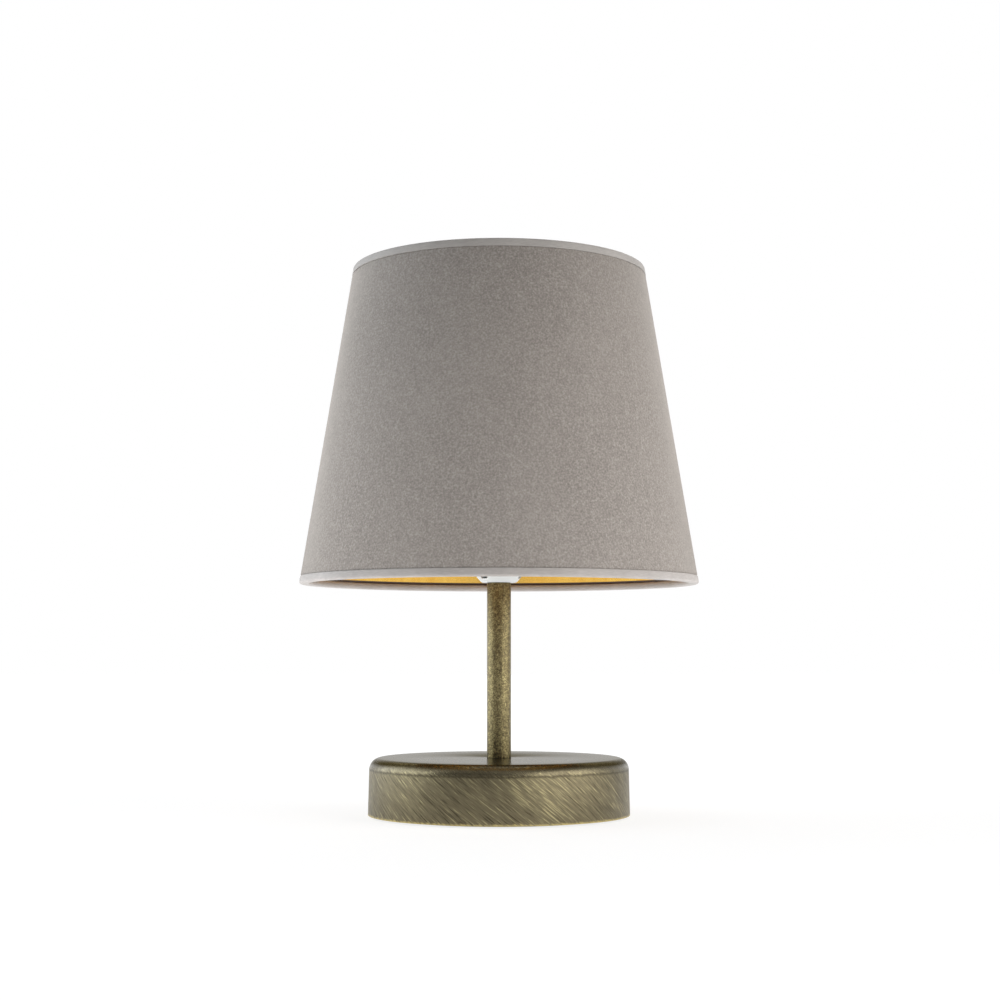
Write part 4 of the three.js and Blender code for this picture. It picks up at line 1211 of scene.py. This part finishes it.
@dataclass
class Shade(SubAssembly):
    """The shade: velvet on a gold lining, cloth trims over wire rings, and its carrier."""

    bottom: float = 114.8
    height: float = 160
    low_radius: float = 100
    top_radius: float = 74
    velvet_depth: float = 0.8
    velvet_wall: float = 0.8
    lining_depth: float = 1.9
    lining_wall: float = 0.6
    layer_end: float = 1.1
    lap: float = 7
    lap_rise: float = 0.25
    pile_depth: float = 0.14
    pile_rise: float = 0.7
    trim_width: float = 3.9
    trim_wall: float = 0.5
    trim_round: float = 1.1
    wire_radius: float = 0.95
    fit: float = 0.3
    carrier_bottom: float = 144.8
    carrier_bore: float = 21.5
    carrier_radius: float = 27
    carrier_thickness: float = 1.5
    arm_radius: float = 1.4
    arm_turns: tuple[float, ...] = (90, 210, 330)
    arm_end: float = 24.1
    weld_radius: float = 2.1
    weld_place: float = 25.4
    weld_squash: float = 0.52  # its height as a share of its width
    sides: int = 256

    def radius_at(self, height: float, depth: float = 0) -> float:
        """Returns the radius of the shade's outside at a height above its lower edge, less a depth."""
        return self.low_radius - (self.low_radius - self.top_radius) * height / self.height - depth

    def cone(self, name: str, side: Sequence[tuple[float, float]], depth: float, wall: float) -> Object:
        """Models a layer of the shade, a cone with a wall.

        Args:
            name: The new piece's name.
            side: Height and depth of each corner of its outer side, between its two ends.
            depth: How deep the outer side lies at both ends.
            wall: The wall's thickness there.

        Returns:
            The layer.
        """
        low, high = self.layer_end, self.height - self.layer_end
        outline = [(low, depth + wall), (low, depth), *side, (high, depth), (high, depth + wall)]
        return turned(name, [(self.radius_at(z, d), self.bottom + z) for z, d in outline], self.sides)

    def lapped(self, piece: Object) -> Object:
        """Raises a narrow strip of a piece's outside at the rear, where its two ends are glued."""
        with editing(piece):
            choose(
                piece, "FACE", lambda at, normal: at.y > 0 and 0 < -at.x < self.lap and normal.y > 0.9
            )
            bpy.ops.mesh.extrude_region_shrink_fatten(
                TRANSFORM_OT_shrink_fatten={"value": self.lap_rise * MM, "use_even_offset": True}
            )
        return piece

    def velvet(self) -> Object:
        """Models the velvet, whose pile is pressed flat under the trims and stands up between them."""
        foot = self.trim_width + 0.05
        side = [(foot, self.velvet_depth - 0.2), (foot + self.pile_rise, self.pile_depth)]
        side += [(self.height - z, depth) for z, depth in reversed(side)]
        return self.lapped(self.cone("velvet_cover", side, self.velvet_depth, self.velvet_wall))

    def wire_place(self) -> tuple[float, float]:
        """Returns how deep below the outside a ring wire's middle lies, and how far from the edge."""
        depth = self.lining_depth + self.lining_wall + self.fit + self.wire_radius
        return depth, self.trim_wall + self.fit + self.wire_radius

    def trim(self, name: str, at_top: bool) -> Object:
        """Models a trim: a band outside, folded over the edge and rolled round the wire."""

        def outside(z: float, depth: float) -> float:
            return self.radius_at(self.height - z if at_top else z, depth)

        depth, wire_z = self.wire_place()
        edge = self.height - self.trim_wall - self.fit if at_top else wire_z
        wire_r = self.radius_at(edge, depth)
        corner = (outside(self.trim_round, self.trim_round), self.trim_round)
        grip = self.wire_radius + self.fit
        outline = [
            *arc(corner, self.trim_round, -90, 0, 6),
            (outside(self.trim_width, 0), self.trim_width, 0.2),
            (outside(self.trim_width, self.trim_wall), self.trim_width),
            *arc(corner, self.trim_round - self.trim_wall, 0, -90, 6),
            *arc((wire_r, wire_z), grip, 270, 120, 10),
            *arc((wire_r, wire_z), grip + self.trim_wall, 120, 270, 10),
        ]
        if at_top:
            outline = [(c[0], self.height - c[1], *c[2:]) for c in outline]
        return turned(name, lifted(outline, self.bottom), self.sides, round_steps=3)

    def carrier(self) -> Object:
        """Models the ring that drops over the lampholder."""
        low, high = self.carrier_bottom, self.carrier_bottom + self.carrier_thickness
        corners = [
            (self.carrier_bore, low, 0.25), (self.carrier_radius, low, 0.3),
            (self.carrier_radius, high, 0.4), (self.carrier_bore, high, 0.3),
        ]
        return turned("carrier", corners, 128)

    def arm(self) -> Object:
        """Models a wire arm along +X, from the lower trim up to the carrier, with its weld."""
        depth, wire_z = self.wire_place()
        ring = self.radius_at(wire_z, depth) - self.wire_radius
        start = ring - 2 * self.fit - self.trim_wall
        under = self.carrier_bottom - self.arm_radius - self.fit
        floor = self.bottom + wire_z
        points = [
            (ring, floor), (start - 5, floor + 0.4), (start - 14, floor + 4),
            (self.carrier_radius + 14, under - 4), (self.carrier_radius + 5, under),
            (self.arm_end, under),
        ]
        bpy.ops.object.select_all(action="DESELECT")
        bpy.ops.curve.primitive_bezier_curve_add()
        rod = bpy.context.object
        rod.name = rod.data.name = "arm"
        spline = rod.data.splines[0]
        spline.bezier_points.add(len(points) - len(spline.bezier_points))
        for knot, (x, z) in zip(spline.bezier_points, points):
            knot.co = (x * MM, 0, z * MM)
            knot.handle_left_type = knot.handle_right_type = "AUTO"
        rod.data.bevel_depth = self.arm_radius * MM
        rod.data.bevel_resolution = 6
        rod.data.resolution_u = 10
        rod.data.use_fill_caps = True
        wake(rod)
        bpy.ops.object.convert(target="MESH")
        weld = started(
            bpy.ops.mesh.primitive_uv_sphere_add, "weld", segments=24, ring_count=12,
            radius=self.weld_radius * MM, location=(self.weld_place * MM, 0, (under + 0.5) * MM),
            scale=(1.0, 1.0, self.weld_squash),
        )
        settled(weld)
        flat = self.carrier_bottom - 0.02
        with editing(weld):
            choose(weld, "VERT", lambda at, _: at.z > flat)
            bpy.ops.transform.resize(value=(1, 1, 0), center_override=(0, 0, flat * MM))
        return cleaned(settled(joined("carrier_rod", rod, weld)))

    def build(self) -> None:
        """Models the shade and dresses its hidden wires."""
        lining = self.cone("gold_lining", [], self.lining_depth, self.lining_wall)
        self.deliver(lining, GOLD_FILM, Body.SHADE, Slot.GOLD, "shade_liner")
        velvet = self.deliver(self.velvet(), VELVET, Body.SHADE, Slot.VELVET, "shade_fabric")
        trims = [
            self.deliver(self.trim(name, at_top), tape, Body.SHADE, Slot.TRIM, node)
            for name, at_top, tape, node in (
                ("upper_trim", True, PAINTED_SHADE_TAPE, "top_trim"), ("lower_trim", False, TAPE, "bottom_trim"),
            )
        ]
        slant = math.hypot(self.height, self.low_radius - self.top_radius)
        self.deliver(self.carrier(), WHITE_PAINT, Body.SHADE, Slot.WHITE_PAINT, "carrier_ring")
        for number, rod in enumerate(round_the_axis(self.arm(), self.arm_turns), 1):
            self.deliver(rod, WHITE_PAINT, Body.SHADE, Slot.WHITE_PAINT, f"carrier_arm_{number}")
        self.dress(WHITE_PAINT, "top_ring_wire", "bottom_ring_wire")


# Studio


@dataclass
class Softbox:
    """A square lamp that faces the lamp's middle from an azimuth, with 0 behind the camera."""

    name: str
    azimuth: float
    elevation: float
    size: float
    power: float
    tint: tuple[float, float, float]
    distance: float = 2.4

    def hang(self, aim: Vector) -> None:
        """Puts the softbox in the scene."""
        turn, rise = math.radians(self.azimuth), math.radians(self.elevation)
        level = math.cos(rise)
        away = Vector((math.sin(turn) * level, -math.cos(turn) * level, math.sin(rise)))
        data = bpy.data.lights.new(self.name, "AREA")
        data.size = self.size
        data.energy = self.power
        data.color = self.tint
        lamp = bpy.data.objects.new(self.name, data)
        lamp.location = aim + away * self.distance
        lamp.rotation_euler = (-away).to_track_quat("-Z", "Y").to_euler()
        bpy.context.scene.collection.objects.link(lamp)


@dataclass
class Studio:
    """A white sweep, soft light and the camera."""

    camera_distance: float = 0.900
    camera_height: float = 0.080
    camera_pitch: float = 4.924
    lens: float = 64.45
    shift: float = 0.001
    aim_height: float = 0.15  # of the point that the softboxes face
    floor_size: float = 12
    floor_gap: float = 1e-4  # between the floor and the felt
    floor_white: float = 0.68  # share of plain white in what the camera sees of the floor
    white_reach: tuple[float, float] = (0.25, 1.2)  # distances over which that share grows to 1
    floor_bounce: float = 1.2  # how much of it the floor throws back up as light
    floor_glow: float = 1.2  # strength of the white that the camera and the metal see
    near_light: float = 1.3  # strength of the light from the floor round the lamp
    far_light: float = 0.7
    light_reach: tuple[float, float] = (0.35, 1.0)  # distances over which near turns into far
    pools: tuple[tuple[float, float], ...] = ((0.35, 0.85), (-0.35, 1.35))  # X and strength
    pool_reach: tuple[float, float] = (0.1, 0.35)  # distances over which each lit pool fades
    ambient: float = 0.03
    flag_azimuth: float = -24  # where the dark side of the room lies, with 0 behind the camera
    flag_reach: float = 60
    flag_level: float = 0.2

    def camera(self) -> None:
        """Sets the camera at the photograph's viewing angle."""
        data = bpy.data.cameras.new("camera")
        data.lens = self.lens
        data.sensor_width = 36
        data.shift_x = self.shift
        camera = bpy.data.objects.new("camera", data)
        camera.location = (0, -self.camera_distance, self.camera_height)
        camera.rotation_euler = (math.radians(90 + self.camera_pitch), 0, 0)
        bpy.context.scene.collection.objects.link(camera)
        bpy.context.scene.camera = camera

    def floor(self) -> None:
        """Lays a pale floor that looks white and keeps a light shadow."""
        piece = started(
            bpy.ops.mesh.primitive_grid_add, "floor", size=self.floor_size,
            location=(0, 0, -self.floor_gap),
        )
        graph = Graph("floor")
        graph.feed(Base_Color=(0.9, 0.9, 0.9, 1.0), Roughness=0.9, Specular_IOR_Level=0.0)
        path = graph.add("ShaderNodeLightPath").outputs
        seen = graph.math("MULTIPLY", path["Is Diffuse Ray"], self.floor_bounce)
        for ray in ("Is Camera Ray", "Is Glossy Ray", "Is Transmission Ray"):
            seen = graph.math("MAXIMUM", seen, path[ray])
        away = graph.vector("LENGTH", graph.place)
        thrown = graph.levels(away, *self.light_reach, self.near_light, self.far_light)
        for across, gain in self.pools:
            pool = graph.vector("DISTANCE", graph.place, (across, 0, 0))
            thrown = graph.math("ADD", thrown, graph.levels(pool, *self.pool_reach, gain, 0))
        strength = graph.blend(path["Is Diffuse Ray"], self.floor_glow, thrown)
        white = graph.add("ShaderNodeEmission", {"Color": (1, 1, 1, 1), "Strength": strength})
        share = graph.math("MULTIPLY", seen, graph.levels(away, *self.white_reach, self.floor_white, 1))
        mixed = graph.add(
            "ShaderNodeMixShader", {0: share, 1: graph.shader.outputs[0], 2: white.outputs[0]}
        )
        graph.fill(graph.tree.nodes["Material Output"], {"Surface": mixed.outputs[0]})
        piece.data.materials.append(graph.material)

    def sky(self) -> None:
        """Makes the surroundings: white to the eye, softer as light, darker where the camera stands."""
        world = bpy.data.worlds.new("studio")
        bpy.context.scene.world = world
        world.use_nodes = True
        world.node_tree.nodes.clear()
        nodes = Nodes(world.node_tree)
        path = nodes.add("ShaderNodeLightPath").outputs
        turn, reach = math.radians(self.flag_azimuth), math.radians(self.flag_reach)
        look = nodes.add("ShaderNodeTexCoord").outputs["Generated"]
        facing = nodes.vector("DOT_PRODUCT", look, (math.sin(turn), -math.cos(turn), 0))
        flag = nodes.levels(
            facing, math.cos(reach), math.cos(reach / 2), 1, self.flag_level,
            interpolation_type="SMOOTHSTEP",
        )
        light = nodes.math("MAXIMUM", path["Is Glossy Ray"], self.ambient)
        eye = nodes.math("MAXIMUM", path["Is Camera Ray"], path["Is Transmission Ray"])
        strength = nodes.math("MAXIMUM", eye, nodes.math("MULTIPLY", light, flag))
        white = nodes.add("ShaderNodeBackground", {"Color": (1, 1, 1, 1), "Strength": strength})
        nodes.add("ShaderNodeOutputWorld", {"Surface": white.outputs[0]})

    def build(self) -> None:
        """Sets up the whole studio."""
        aim = Vector((0, 0, self.aim_height))
        for softbox in (
            Softbox("right_softbox", 66, 8, 3.0, 77, (1.0, 0.985, 0.965)),
            Softbox("left_softbox", -98, 8, 3.0, 78, (0.88, 0.945, 1.0)),
            Softbox("rear_softbox", 180, 60, 2.4, 24, (1.0, 1.0, 1.0)),
        ):
            softbox.hang(aim)
        self.camera()
        self.floor()
        self.sky()
        log.info("studio: floor, sky, softboxes and camera")


def main() -> None:
    """Builds the lamp and its studio."""
    logging.basicConfig(level=logging.INFO, format="%(message)s")
    scene = bpy.context.scene
    scene.view_settings.view_transform = "Standard"
    for name in ("Cube", "Light", "Camera"):
        if name in bpy.data.objects:
            bpy.data.objects.remove(bpy.data.objects[name])
    Studio().build()
    for sub_assembly in (Base(), Stem(), Wiring(), Lampholder(), RingNut(), Bulb(), Shade()):
        sub_assembly.build()
        log.info("%s done", type(sub_assembly).__name__)


if __name__ == "__main__":
    main()
